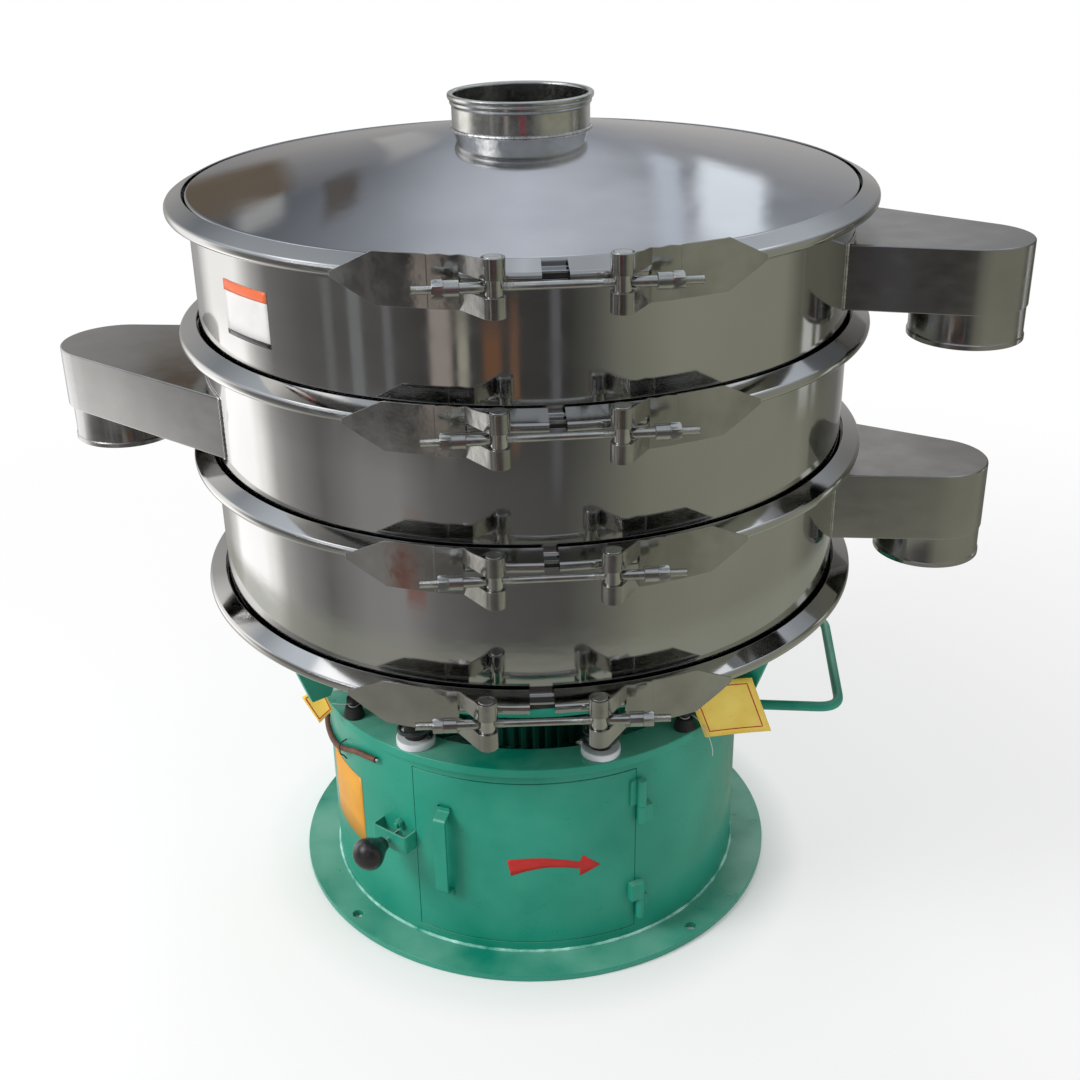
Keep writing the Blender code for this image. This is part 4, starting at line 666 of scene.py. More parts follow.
# %% Place the hardware at every joint
for number, (joint, azimuth) in enumerate(zip(JOINTS, CLAMP_AZIMUTHS), start=1):
    at_joint = np.array([0.0, 0.0, joint])
    for side, sign in (("left", -1), ("right", 1)):
        pin = facing(pin_shape(sign * PIN_X) + at_joint, azimuth)
        build(f"pin_{number}_{side}", [patch(pin, loop_rows=True)], BRIGHT, "sieve",
              [f"clamp_pin_{number}_{side}"])
    points, faces = rod_shape()
    build(f"tie_rod_{number}", [(facing(points + at_joint, azimuth), faces)], BRIGHT, "sieve",
          [f"clamp_rod_{number}"], angle=60.0)
    fixed = patch(facing(nut_shape(-1) + at_joint, azimuth), True, True)
    build(f"fixed_nut_{number}", [fixed], BRIGHT, "sieve")
    loose = patch(facing(nut_shape(1) + at_joint, azimuth), True, True)
    build(f"sleeve_nut_{number}", [loose], BRIGHT, f"nut_{number}", [f"clamp_nut_{number}"])

# %% [markdown]
# ## Motor table
# The lowest deck stands on a green dished table: a plate with a cone welded round it and a
# flange on top. Cups under the plate sit on the springs, and a rib stands beside each
# transport bolt. The cone and plate are one turned profile, the cups small turned discs.

# %% Table, cups and ribs
def prism(rows, azimuth):
    """A closed solid from rows of local corners, its first and last row capped, facing the azimuth."""
    return patch(facing(rows, azimuth), loop_columns=True, caps=True)


TABLE_TOP = JOINTS[3] - FLANGE_OFF
table_profile = rounded([
    (FLANGE, TABLE_TOP), (FLANGE, TABLE_TOP - SHEET), (SHELL, TABLE_TOP - SHEET), (0.360, 0.444), (0.100, 0.444),
    (0.100, 0.452), (0.360, 0.452), (0.4509, TABLE_TOP),
], (0.0008, 0.0008, 0.004, 0.008, 0.001, 0.001, 0.008, 0.003), 5)
SPRING_CIRCLE = 0.318
SPRING_AZIMUTHS = (-32.5, 57.5, 147.5, 237.5, 17.5, 107.5, 197.5, 287.5)
cup_profile = stud(0.0285, 0.445, 0.435, (0.001, 0.001), 3)
spots = [about(SPRING_CIRCLE, azimuth, 0.0)[:2] for azimuth in SPRING_AZIMUTHS]


def rib_shape(azimuth):
    """A plate 8 mm thick: its outline of (radius, height) is set out on both sides of the azimuth."""
    outline = np.array([(0.404, 0.408), (0.448, TABLE_TOP - 0.0015), (0.440, TABLE_TOP - 0.0015), (0.352, 0.448),
                        (0.374, 0.408)])
    return prism(points_of(np.array([[-0.004], [0.004]]), outline[:, 0], outline[:, 1]), azimuth)


table_parts = [turned(table_profile, 160)] + [turned(cup_profile, 28, spot) for spot in spots]
build("motor_table", table_parts, GREEN, "sieve", ["table_frame"])
build("table_ribs", [rib_shape(a) for a in (-52.5, 52.5, 127.5, -127.5)], GREEN, "sieve",
      bevel=0.0008)

# %% [markdown]
# ## Motor
# The motor hangs under the table. Its cast body has upright cooling fins, so its radius
# goes in and out with the azimuth while the profile runs down it.

# %% Finned housing
FINS, FIN_DEPTH = 36, 0.007


def motor_grid():
    """Radius from the profile, less the depth of a gap over the body's height; fins and gaps are a clipped sine."""
    line = rounded([(0.088, 0.470), (0.088, 0.4437), (0.142, 0.4437), (0.142, 0.4277), (0.112, 0.4277),
                    (0.112, 0.226), (0.090, 0.204), (0.0206, 0.204), (0.0206, 0.470)],
                   (0.002, 0.001, 0.002, 0.002, 0.002, 0.004, 0.006, 0.001, 0.001), 4)
    azimuth = np.arange(360) * 1.0
    body = ((line[:, 1] < 0.420) & (line[:, 1] > 0.224) & (line[:, 0] > 0.10))[None, :]
    fin = np.clip(np.sin(np.radians(azimuth * FINS))[:, None] * 2.0, -1.0, 1.0) * 0.5 + 0.5
    radius = line[None, :, 0] - FIN_DEPTH * body * (1 - fin)
    return about(radius, azimuth[:, None], line[None, :, 1])


# The motor's dark green is painted shade: the same enamel darkened for the shadow under the table.
build("motor_body", [patch(motor_grid(), True, True)], SHADED_GREEN, "sieve", ["motor_housing"])

# %% [markdown]
# ## Springs
# The sieve floats on eight coil springs. A spring is a circle of wire carried along a
# helix whose climb eases in and out, so that its ends lie flat. It stands between the base
# at its foot and the sieve at its head, and is built on its own, tied to neither body.

# %% Coils and their nylon seats
COIL_RADIUS, WIRE_RADIUS, COIL_TURNS = 0.0235, 0.0034, 4
COIL_FOOT, COIL_HEAD = 0.3647, 0.4313  # heights of the wire's middle


def coil_line():
    """A helix: the angle grows evenly over its turns, the height by a mix of the same share and its smooth step."""
    share = np.linspace(0.0, 1.0, COIL_TURNS * 26 + 1)
    angle = share * COIL_TURNS * 2 * np.pi
    climb = COIL_FOOT + (COIL_HEAD - COIL_FOOT) * (0.65 * share + 0.35 * share * share * (3 - 2 * share))
    return points_of(COIL_RADIUS * np.cos(angle), COIL_RADIUS * np.sin(angle), climb)


for number, (azimuth, spot) in enumerate(zip(SPRING_AZIMUTHS, spots), start=1):
    turn = math.radians(azimuth)
    spin = np.array([[math.cos(turn), math.sin(turn), 0.0], [-math.sin(turn), math.cos(turn), 0.0], [0.0, 0.0, 1.0]])
    path = coil_line() @ spin + (*spot, 0.0)
    spring = build(f"coil_{number}", [tube(WIRE_RADIUS, 10, path)], SPRING, None,
                   [f"spring_{number}"])
    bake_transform(spring)
seat_profile = stud(0.0285, 0.361, 0.3501, (0.002, 0.001))
peg_profile = stud(0.0165, 0.387, 0.3608, (0.003, 0.001))
build("spring_seats", [turned(seat_profile, 40, spot) for spot in spots], NYLON, "base")
build("spring_pegs", [turned(peg_profile, 28, spot) for spot in spots], RUBBER, "base")

# %% [markdown]
# ## Base
# The base is a rolled shell on a floor flange, with a ring on top for the springs and a
# doorway at the front. The doorway's edges fall on grid lines, as the windows did, and the
# anchor holes are rings of points joined to the grid round them.

# %% Shell, spring ring and weld beads
BASE = 0.3315  # the drum's outer radius
BASE_WALL = 0.005
DOOR_LEFT, DOOR_RIGHT, DOOR_LOW, DOOR_HIGH = -32.3, 26.3, 0.028, 0.314
DOOR_GAP = 0.0015  # all round the door


def base_sheet(columns, levels, hole=None):
    """A rolled sheet: columns of azimuth, levels of height from the top down; hole leaves out its cells."""
    points = about(BASE, columns[:, None], levels[None, :])
    return patch(points, loop_rows=True, keep=outside(columns, levels, *hole)) if hole else patch(points)


gap_angle = math.degrees(DOOR_GAP / BASE)
doorway = (DOOR_LEFT - gap_angle, DOOR_RIGHT + gap_angle, DOOR_LOW - DOOR_GAP, DOOR_HIGH + DOOR_GAP)
columns = columns_with(doorway[:2], 160)
levels = np.array([0.3357, doorway[3], 0.22, 0.12, doorway[2], 0.0103])
build("base_drum", [base_sheet(columns, levels, doorway)], GREEN, "base", ["base_shell"], BASE_WALL,
      bevel=0.0006)
ring_profile = rounded([(0.347, 0.350), (0.347, 0.336), (0.293, 0.336), (0.293, 0.350)], 0.0016, 4)
build("spring_deck", [turned(ring_profile, 160)], GREEN, "base", ["spring_ring"])
# Its pale patches are partly painted glints.
build("floor_weld", [bead(BASE + 0.0010, 0.0110, 0.0027, 0.08)], WELD, "base")
build("ring_weld", [bead(BASE + 0.0008, 0.3350, 0.0018, 0.10)], GREEN, "base")


# %% Floor flange with its anchor holes
FLOOR_SHEET = 0.010
ANCHOR_AZIMUTHS, ANCHOR_CIRCLE, ANCHOR_HOLE = (-50.0, 40.0, 130.0, 220.0), 0.368, 0.0085


def flange_plate():
    """A flat ring whose cells near an anchor hole give way to quads between the hole and the cells' border."""
    radii = np.linspace(0.386, 0.318, 11)
    columns, steps = len(radii), 180
    points = about(radii[None, :], np.arange(steps)[:, None] * 360.0 / steps, FLOOR_SHEET)
    corners = points.reshape(-1, 3)
    extra, stitched = [], []
    keep = np.ones((steps, columns - 1), bool)
    top = int(np.argmin(np.abs(radii - ANCHOR_CIRCLE))) - 2
    for anchor in ANCHOR_AZIMUTHS:
        rows = (int(round(anchor % 360.0 * steps / 360.0)) + np.arange(-2, 3)) % steps
        keep[rows[:-1], top:top + 4] = False
        border = [(rows[0], top + c) for c in range(4)] + [(rows[r], top + 4) for r in range(4)]
        border += [(rows[4], top + c) for c in range(4, 0, -1)] + [(rows[r], top) for r in range(4, 0, -1)]
        numbers = [int(r * columns + c) for r, c in border]
        spot = about(ANCHOR_CIRCLE, anchor, FLOOR_SHEET)
        away = corners[numbers] - spot
        start = len(corners) + len(extra) * len(numbers)
        extra.append(spot + ANCHOR_HOLE * away / np.linalg.norm(away, axis=1, keepdims=True))
        for k, number in enumerate(numbers):
            after = (k + 1) % len(numbers)
            stitched.append([number, numbers[after], start + after, start + k])
    return np.concatenate([corners] + extra), cells(steps, columns, loop_rows=True)[keep].tolist() + stitched


build("floor_ring", [flange_plate()], GREEN, "base", ["floor_flange"], FLOOR_SHEET, 1.0,
      bevel=0.0010)

# %% [markdown]
# ## Door and hinges
# The door is a piece of the same drum, cut out and hung on two barrel hinges. It is a
# smaller patch of the base's own surface. Each hinge is a round barrel on one half and a
# squared block on the other.

# %% Door panel
door_columns = np.linspace(DOOR_LEFT - 0.12, DOOR_RIGHT + 0.12, 33)
door_levels = np.linspace(DOOR_HIGH, DOOR_LOW, 6)
build("door_panel", [base_sheet(door_columns, door_levels)], GREEN, "door_body", ["door"],
      BASE_WALL, bevel=0.0006)


# %% Hinge halves
HINGE_AZIMUTH, HINGE_RADIUS = 27.4, 0.3393
LEAF_LOW, LEAF_HIGH, BLOCK_HIGH = BASE - 0.0008, 0.3358, 0.3435  # a leaf or a block stands between these radii


def box_at(azimuth, across, out, height):
    """A block between two values across, two outwards and two heights, facing the azimuth."""
    across, out, height = (np.array(pair) for pair in (across, out, height))
    return prism(points_of(across[[0, 1, 1, 0]], out[[0, 0, 1, 1]], height[:, None]), azimuth)


def hinge_half(low, high, across, out, block):
    """A barrel with eased ends, turned about the hinge's own axis, and its leaf or block."""
    barrel = turned(stud(0.0068, high, low, (0.0012, 0.0012)), 28, about(HINGE_RADIUS, HINGE_AZIMUTH, 0.0)[:2])
    return [barrel, box_at(HINGE_AZIMUTH, across, (LEAF_LOW, out), block)]


base_hinges = hinge_half(0.0482, 0.0828, (0.0, 0.016), LEAF_HIGH, (0.050, 0.0815))
base_hinges += hinge_half(0.2232, 0.2528, (-0.0012, 0.0175), BLOCK_HIGH, (0.2235, 0.2525))
door_hinges = hinge_half(0.0833, 0.1130, (-0.0175, 0.0012), BLOCK_HIGH, (0.0836, 0.1127))
door_hinges += hinge_half(0.2533, 0.2978, (-0.016, 0.0), LEAF_HIGH, (0.2545, 0.2965))
build("base_hinges", base_hinges, GREEN, "base", bevel=0.0007)
build("door_hinges", door_hinges, GREEN, "door_body", bevel=0.0007)

# %% [markdown]
# ## Pull, latch and knob
# The door is pulled by a cranked flat bar, and held by a latch whose spindle passes
# through a channel bracket to a pear-shaped knob. Bar and bracket are a flat section
# carried along a bent line; the knob is a profile turned about the spindle.

# %% Door pull
PULL_AZIMUTH = -23.5
flat_bar = rounded([(0.010, 0.00225), (0.010, -0.00225), (-0.010, -0.00225), (-0.010, 0.00225)], 0.0009, 3)
pull_line = rounded([(0.3338, 0.104), (0.3338, 0.112), (0.3512, 0.120), (0.3512, 0.246), (0.3338, 0.254),
                     (0.3338, 0.262)], (0, 0.003, 0.005, 0.005, 0.003, 0), 5, False)
pull_path = about(pull_line[:, 0], PULL_AZIMUTH, pull_line[:, 1])
tangent = about(1.0, PULL_AZIMUTH + 90.0, 0.0) - about(0.0, 0.0, 0.0)
side_up = np.cross(tangent, np.gradient(pull_path, axis=0))
build("pull_bar", [carried(flat_bar, pull_path, side_up)], GREEN, "door_body", ["door_pull"])

# %% Latch bracket and stud
LATCH_AZIMUTH, LATCH_HEIGHT = -38.35, 0.184
STUD_AZIMUTH, STUD_HEIGHT = -37.5, 0.2045
plan = rounded([(-0.0318, 0.3300), (-0.0318, 0.3535), (0.0318, 0.3535), (0.0318, 0.3300)], (0, 0.005, 0.005, 0), 6,
               False)
bracket_path = facing(points_of(plan[:, 0], plan[:, 1], LATCH_HEIGHT), LATCH_AZIMUTH)
plate = rounded([(0.0015, 0.015), (0.0015, -0.015), (-0.0015, -0.015), (-0.0015, 0.015)], 0.0006, 3)
build("latch_channel", [carried(plate, bracket_path, UP)], GREEN, "base",
      ["latch_bracket"])


def along_radius(line, azimuth, height, steps=32):
    """A profile of (radius, distance out) turned about a line that runs straight out from the machine's axis."""
    line, angle = line[None], angles(steps)[:, None]
    local = points_of(line[..., 0] * np.cos(angle), line[..., 1], height + line[..., 0] * np.sin(angle))
    return patch(facing(local, azimuth), loop_rows=True)


def hexagon_rings(flats, limit):
    """A hexagon's corners as across and up, ring by ring, its radius never more than the ring's limit."""
    radius = np.minimum(hexagon(flats), np.array(limit)[:, None])
    return radius * np.cos(angles(48)), radius * np.sin(angles(48))


stud_flats = 0.013
x, up = hexagon_rings(stud_flats, [share * stud_flats for share in (0.53, 0.575, 0.575, 0.53)])
out = np.array([0.3320, 0.3330, 0.3390, 0.3400])[:, None]
stud_nut = prism(points_of(x, out, STUD_HEIGHT + up), STUD_AZIMUTH)
stud_end = along_radius(stud(0.0036, 0.3440, 0.3320, (0.0008, 0)), STUD_AZIMUTH, STUD_HEIGHT, 20)
build("latch_stud", [stud_nut, stud_end], GREEN, "base")

# %% Spindle, tongue and knob
spindle = stud(0.005, 0.3655, 0.300, (0.0008, 0.0008), 3)
tongue = box_at(LATCH_AZIMUTH, (-0.008, 0.008), (0.300, 0.306), (LATCH_HEIGHT - 0.008, LATCH_HEIGHT + 0.070))
build("latch_bar", [along_radius(spindle, LATCH_AZIMUTH, LATCH_HEIGHT), tongue], BRIGHT, "latch",
      ["latch_spindle"], bevel=0.0006)
pear = smooth_line(np.array([
    (0.0005, 0.4200), (0.0080, 0.4188), (0.0152, 0.4152), (0.0212, 0.4094), (0.0246, 0.4020),
    (0.0246, 0.3945), (0.0214, 0.3868), (0.0168, 0.3790), (0.0130, 0.3722), (0.0112, 0.3662),
]), 5)
knob_line = np.vstack([[(0.0, 0.4200)], pear, [(0.0, 0.3662)]])
build("pear_knob", [along_radius(knob_line, LATCH_AZIMUTH, LATCH_HEIGHT, 48)], PHENOLIC, "latch",
      ["latch_knob"], angle=60.0)
print("knob profile points:", len(knob_line))

# %% [markdown]
# ## Handle, transport bolts and supply lead
# The handle is a bent tube, the transport bolts are rubber cones with a hexagon head, and
# the brown lead lies along the base's left side, cut off short and held by a wire hook.

# %% Handle
HANDLE_AZIMUTH = 84.0
handle_out, handle_half = 0.480, 0.140  # the grip's radius, and half the distance between its two legs
handle_plan = rounded([(-handle_half, 0.3145), (-handle_half, handle_out), (handle_half, handle_out),
                       (handle_half, 0.3145)], (0, 0.034, 0.034, 0), 10, False)
handle_path = facing(points_of(handle_plan[:, 0], handle_plan[:, 1], 0.343), HANDLE_AZIMUTH)
build("handle_tube", [tube(0.0075, 20, handle_path)], GREEN, "base",
      ["side_handle"])

# %% Transport bolts
BOLT_AZIMUTHS, BOLT_CIRCLE = (42.0, 127.5, 217.5, 306.0), 0.331
cone_line = rounded([(0.0, 0.3728), (0.0060, 0.3728), (0.0060, 0.3686), (0.0125, 0.3686), (0.0160, 0.3503),
                     (0.0, 0.3503)], (0, 0.0005, 0.0005, 0.003, 0.002, 0), 4, False)
x, y = hexagon_rings(NUT_FLATS, [0.0100, 0.0112, 0.0112, 0.0096])
height = np.array([0.3729, 0.3739, 0.3806, 0.3818])[:, None]
for number, azimuth in enumerate(BOLT_AZIMUTHS, start=1):
    spot = about(BOLT_CIRCLE, azimuth, 0.0)
    head = points_of(spot[0] + x, spot[1] + y, height)
    build(f"buffer_{number}", [turned(cone_line, 32, spot[:2]), patch(head, loop_columns=True, caps=True)],
          RUBBER, "base", [f"transport_bolt_{number}"])

# %% Supply lead, gland and hook
LEAD_RADIUS = 0.3363  # of the lead's middle line, where the sheath rests on the drum
route = np.array([(-98.0, 0.255), (-86.0, 0.252), (-75.0, 0.255), (-65.0, 0.263), (-53.0, 0.291), (-44.3, 0.301)])
lead = smooth_line(route, 10)
tip, gland = np.array([(-44.25, 0.3010), (-43.2, 0.3021)]), np.array([(-100.1, 0.255), (-98.05, 0.255)])
sheath_line, tip_line, gland_line = (about(LEAD_RADIUS, line[:, 0], line[:, 1]) for line in (lead, tip, gland))
build("lead_sheath", [tube(0.0045, 16, sheath_line)], SHEATH, "base", ["supply_lead"])
build("lead_cores", [tube(0.0030, 12, tip_line)], BRIGHT, "base")
build("lead_gland", [tube(0.0080, 24, gland_line)], RUBBER, "base")
hook = smooth_line(np.array([(BASE - 0.001, -60.0, 0.2900), (0.3420, -60.0, 0.2850), (0.3432, -60.3, 0.2720),
                             (0.3415, -60.8, 0.2640), (0.3370, -60.4, 0.2600), (0.3345, -59.6, 0.2560)]), 6)
build("lead_hook", [tube(0.0011, 8, about(hook[:, 0], hook[:, 1], hook[:, 2]), (0.3, 0.1, 0.0))], SPRING,
      "base")

# %% [markdown]
# ## Paint marks, bare labels and tags
# A red arrow on the door shows which way the motor turns. The label places are kept, but
# left bare. Each one is a thin skin a third of a millimetre off its sheet, so that it
# follows the curve exactly.

# %% Arrow
SKIN, SKIN_GAP = 0.0002, 0.0004  # a mark's thickness, and how far its outer face stands off the sheet
top_line = np.array([(-7.4, 0.1807), (-2.82, 0.1837), (2.24, 0.1839), (7.33, 0.1784), (11.2, 0.1722)])
low_line = np.array([(-6.5, 0.1518), (-2.64, 0.1608), (2.2, 0.1666), (7.31, 0.1647), (11.2, 0.1594)])
upper = smooth_line(top_line, 6)
lower = smooth_line(low_line, 6)
t = np.linspace(0.0, 1.0, 4)[:, None, None]
shaft = (upper[None] * (1 - t) + lower[None] * t).transpose(1, 0, 2)
head_top = np.array([(11.2, 0.1722), (12.0, 0.1832), (14.3, 0.1720), (16.65, 0.1608)])
head_low = np.array([(11.2, 0.1594), (11.2, 0.1465), (13.9, 0.1535), (16.65, 0.1608)])
head = (head_top[None] * (1 - t) + head_low[None] * t).transpose(1, 0, 2)
marks = [patch(about(BASE + SKIN_GAP, part[..., 0], part[..., 1])) for part in (shaft, head)]
build("turn_arrow", marks, RED, "door_body", (), SKIN)


# %% Labels on round sheets
def label(name, radius, left, right, low, high, material, body):
    """A thin rectangle on a round sheet, between two azimuths and two heights."""
    columns = np.linspace(left, right, 13)[:, None]
    rows = np.linspace(high, low, 4)[None, :]
    return build(name, [patch(about(radius, columns, rows))], material, body, (), SKIN)


label("base_label", BASE + SKIN_GAP, -72.5, -52.8, 0.117, 0.240, ORANGE, "base")
for name, off, low, high, material in (("deck_label", 0.0004, 0.9700, 1.0410, WHITE),
                                       ("deck_label_band", 0.0007, 1.0270, 1.0410, BAND_RED),
                                       ("deck_label_foot", 0.0007, 0.9700, 0.9765, PHENOLIC)):
    label(name, SHELL + off, -54.6, -42.4, low, high, material, "sieve")


# %% Tags tied to the transport bolts
CURL = 0.0016  # how far a card bows from flat


def tag_card(name, corners):
    """A card between four corners, each point the blend of the corners by two shares, with a border drawn on it."""
    a, b, c, d = (np.array([*AXIS, 0.0]) + corner for corner in corners)
    normal = np.cross(b - a, d - a)
    normal /= np.linalg.norm(normal)

    def on_card(s, t):
        flat = (a * (1 - s) + b * s) * (1 - t) + (d * (1 - s) + c * s) * t
        return flat + CURL * np.sin(np.pi * s) * normal

    share = np.linspace(0.0, 1.0, 9)
    card = patch(on_card(share[:, None, None], share[None, :, None]))
    build(name, [card], YELLOW, "base", (), 0.0004, 0.0)
    run = np.linspace(0, 4, 65)[:-1, None]
    round_card = (0.1, 0.9, 0.9, 0.1, 0.1), (0.1, 0.1, 0.9, 0.9, 0.1)
    border = on_card(*(np.interp(run, range(5), line) for line in round_card))
    section = rounded([(0.0008, 0.0005), (0.0008, -0.0005), (-0.0008, -0.0005), (-0.0008, 0.0005)], 0.0001, 2)
    build(name + "_border", [carried(section, border, normal, loop=True)], RED, "base")


def tie(name, bolt, points):
    """Thin string: a slightly tipped loop round a bolt's neck, then a smooth line through the points."""
    centre, angle = about(BOLT_CIRCLE, bolt, 0.0), np.linspace(0.0, 2 * np.pi, 14)
    loop = points_of(centre[0] + 0.0075 * np.cos(angle), centre[1] + 0.0075 * np.sin(angle),
                     0.3707 + 0.0012 * np.sin(angle))
    line = smooth_line(np.vstack([loop - (*AXIS, 0.0), points]), 8)
    line[:, :2] += AXIS
    build(name, [tube(0.0007, 6, line, (0.31, 0.27, 0.91))], WHITE, "base")


tag_card("tag_right", [(0.2185, -0.258, 0.4309), (0.3146, -0.258, 0.4400), (0.3467, -0.263, 0.3520),
                       (0.2506, -0.263, 0.3430)])
tag_card("tag_left", [(-0.3400, -0.214, 0.3960), (-0.3085, -0.218, 0.4180), (-0.2960, -0.214, 0.3720),
                      (-0.3180, -0.210, 0.3480)])
tie("string_right", 42.0, [(0.2360, -0.256, 0.3740), (0.2480, -0.264, 0.3600), (0.2560, -0.272, 0.3450),
                           (0.2600, -0.276, 0.3300), (0.2600, -0.277, 0.3200)])
tie("string_left", -54.0, [(-0.2780, -0.2100, 0.3800), (-0.2960, -0.2170, 0.3860)])

# %% [markdown]
# ## What stays as the solid model
# Gaskets, screens, the rotor and its weights are simple solids that are hidden or nearly
# so. They keep their own meshes and only get a finish.

# %% Finishes on the remaining nodes
kept = {
    "lid_gasket": RUBBER, "upper_screen_gasket": RUBBER, "lower_screen_gasket": RUBBER, "table_gasket": RUBBER,
    "screen_upper": MESH, "screen_lower": MESH, "motor_shaft": BRIGHT, "lower_weight": BRIGHT,
}
for name, material in kept.items():
    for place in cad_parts[name].material_slots:
        place.material = material
print("nodes kept:", len(kept))

# %% [markdown]
# ## Room, light and camera
# Polished steel shows the room around it, so the room matters as much as the finish. A
# pale floor keeps the shadow, a painted tent that only reflections see stands for a
# workshop with a window at the left, and soft lamps light the whole from above.

# %% Floor
FLOOR_DROP, FLOOR_HALF = -0.0005, 60.0  # a little below the machine, so that no two faces lie in one plane


def room_piece(name, corners, faces, material):
    """A mesh of the room, linked to the scene."""
    mesh = bpy.data.meshes.new(name)
    mesh.from_pydata(corners, [], faces)
    mesh.materials.append(material)
    item = bpy.data.objects.new(name, mesh)
    bpy.context.scene.collection.objects.link(item)
    return item


floor_paint, nodes, link = new_material("pale_floor", False)
away = add(nodes, "VectorMath", ("operation", "LENGTH"))
far = add(nodes, "MapRange", From_Min=0.9, From_Max=2.4, To_Max=0.45)
near = add(nodes, "MapRange", From_Min=0.36, From_Max=0.46, To_Max=0.55)
share = add(nodes, "Math")
mixed = add(nodes, "MixShader")
link(add(nodes, "TexCoord").outputs["Object"], away.inputs[0])
for ramp, socket in ((far, 0), (near, 1)):
    link(away.outputs["Value"], ramp.inputs["Value"])
    link(ramp.outputs["Result"], share.inputs[socket])
link(share.outputs["Value"], mixed.inputs["Fac"])
link(add(nodes, "BsdfDiffuse", Color=(0.93, 0.93, 0.93, 1.0)).outputs["BSDF"], mixed.inputs[1])
link(add(nodes, "Emission").outputs["Emission"], mixed.inputs[2])
link(mixed.outputs["Shader"], nodes["Material Output"].inputs["Surface"])
square = [(x * FLOOR_HALF, y * FLOOR_HALF, FLOOR_DROP) for x, y in ((-1, -1), (1, -1), (1, 1), (-1, 1))]
floor = room_piece("floor", square, [[0, 1, 2, 3]], floor_paint)

# %% [markdown]
# The tent is a tall drum with a domed top, and only glossy rays see it. Its paint is worked
# out per point: a tone that changes round the wall, another one for the ceiling, and soft
# rectangles on top of them for windows, doors and dark gaps.

# %% Tent that reflections see
TENT = np.array([(0.395, 0.002), (1.45, 0.003), (1.45, 1.25), (1.8, 1.8), (2.0, 2.3), (1.9, 2.9), (1.5, 3.4),
                 (0.9, 3.7), (0.02, 3.8)])  # radius and height, from the floor ring's inner edge up
# Tones of the upper wall, the lower wall and the ceiling: azimuth and brightness.
HIGH_WALL = np.array([(-180, 0.40), (-150, 0.30), (-128, 0.50), (-116, 1.25), (-97, 1.40), (-88, 0.60), (-80, 0.22),
                      (-66, 0.14), (-40, 0.11), (-28, 0.07), (-10, 0.06), (12, 0.05), (18, 0.10), (26, 0.21),
                      (42, 0.30), (82, 0.29), (90, 0.15), (108, 0.09), (125, 0.20), (142, 0.42), (180, 0.45)])
LOW_WALL = np.array([(-180, 0.40), (-150, 0.30), (-128, 0.50), (-114, 1.20), (-91, 1.35), (-84, 0.55), (-76, 0.33),
                     (-64, 0.17), (-50, 0.30), (-38, 0.31), (-27, 0.17), (-12, 0.11), (10, 0.09), (22, 0.17),
                     (34, 0.26), (60, 0.29), (94, 0.29), (108, 0.18), (125, 0.16), (142, 0.42), (180, 0.45)])
CEILING = np.array([(-180, 0.68), (-170, 0.55), (-163, 0.36), (-150, 0.17), (-137, 0.32), (-115, 0.80), (-80, 0.85),
                    (-45, 0.40), (0, 0.45), (45, 0.40), (90, 0.55), (125, 0.62), (148, 0.45), (165, 0.50),
                    (180, 0.68)])
PANELS = (  # azimuth, half width, height, half height, colour
    (-23.0, 3.0, 0.85, 0.35, (0.38, 0.33, 0.30)), (-17.0, 1.4, 0.66, 0.10, (0.42, 0.40, 0.33)),
    (-9.0, 2.4, 0.62, 0.12, (0.20, 0.10, 0.055)), (-3.0, 1.0, 0.62, 0.14, (0.20, 0.11, 0.07)),
    (2.0, 6.0, 0.98, 0.10, (0.20, 0.05, 0.06)), (-48.0, 2.0, 0.80, 0.30, (0.24, 0.25, 0.25)),
    (-57.0, 1.5, 0.70, 0.25, (0.20, 0.20, 0.20)), (-38.0, 1.2, 0.75, 0.25, (0.20, 0.20, 0.21)),
    (8.0, 1.2, 0.70, 0.30, (0.14, 0.14, 0.15)), (-34.0, 3.0, 0.22, 0.08, (0.26, 0.12, 0.10)),
    (96.0, 3.0, 0.70, 0.25, (0.62, 0.62, 0.60)), (103.0, 1.2, 0.70, 0.25, (0.50, 0.50, 0.48)),
    (157.0, 3.0, 2.05, 0.40, (0.95, 1.02, 1.08)), (163.0, 1.2, 2.20, 0.40, (0.60, 0.66, 0.74)),
    (-159.5, 1.6, 2.00, 0.22, (0.12, 0.11, 0.10)), (-152.0, 2.0, 1.75, 0.25, (0.42, 0.43, 0.42)),
    (-149.0, 6.0, 1.50, 0.25, (0.15, 0.12, 0.09)), (-166.0, 2.0, 1.55, 0.30, (0.46, 0.46, 0.45)),
    (-105.0, 11.0, 0.30, 0.30, (1.60, 1.58, 1.58)), (-100.0, 14.0, 3.05, 0.22, (1.70, 1.70, 1.75)),
    (105.0, 12.0, 3.00, 0.20, (1.10, 1.15, 1.20)), (176.0, 6.0, 3.20, 0.12, (1.30, 1.35, 1.40)),
    (-40.0, 10.0, 2.60, 0.12, (0.90, 0.92, 0.98)), (30.0, 9.0, 2.70, 0.12, (0.95, 0.97, 1.00)),
)
WARM, OLIVE, COOL = np.array([[1.0, 0.98, 0.96], [1.0, 1.01, 0.80], [0.95, 1.02, 1.12]])
FLOOR_TONE = np.array([0.240, 0.245, 0.205])


def ramp(value, start, length):
    """Nought up to the start, one from the start plus the length, straight between them."""
    return np.clip((value - start) / length, 0.0, 1.0)[..., None]


def tone_round(azimuth, line):
    """The brightness of a line of tones at every azimuth."""
    return np.interp(azimuth, line[:, 0], line[:, 1])[..., None]


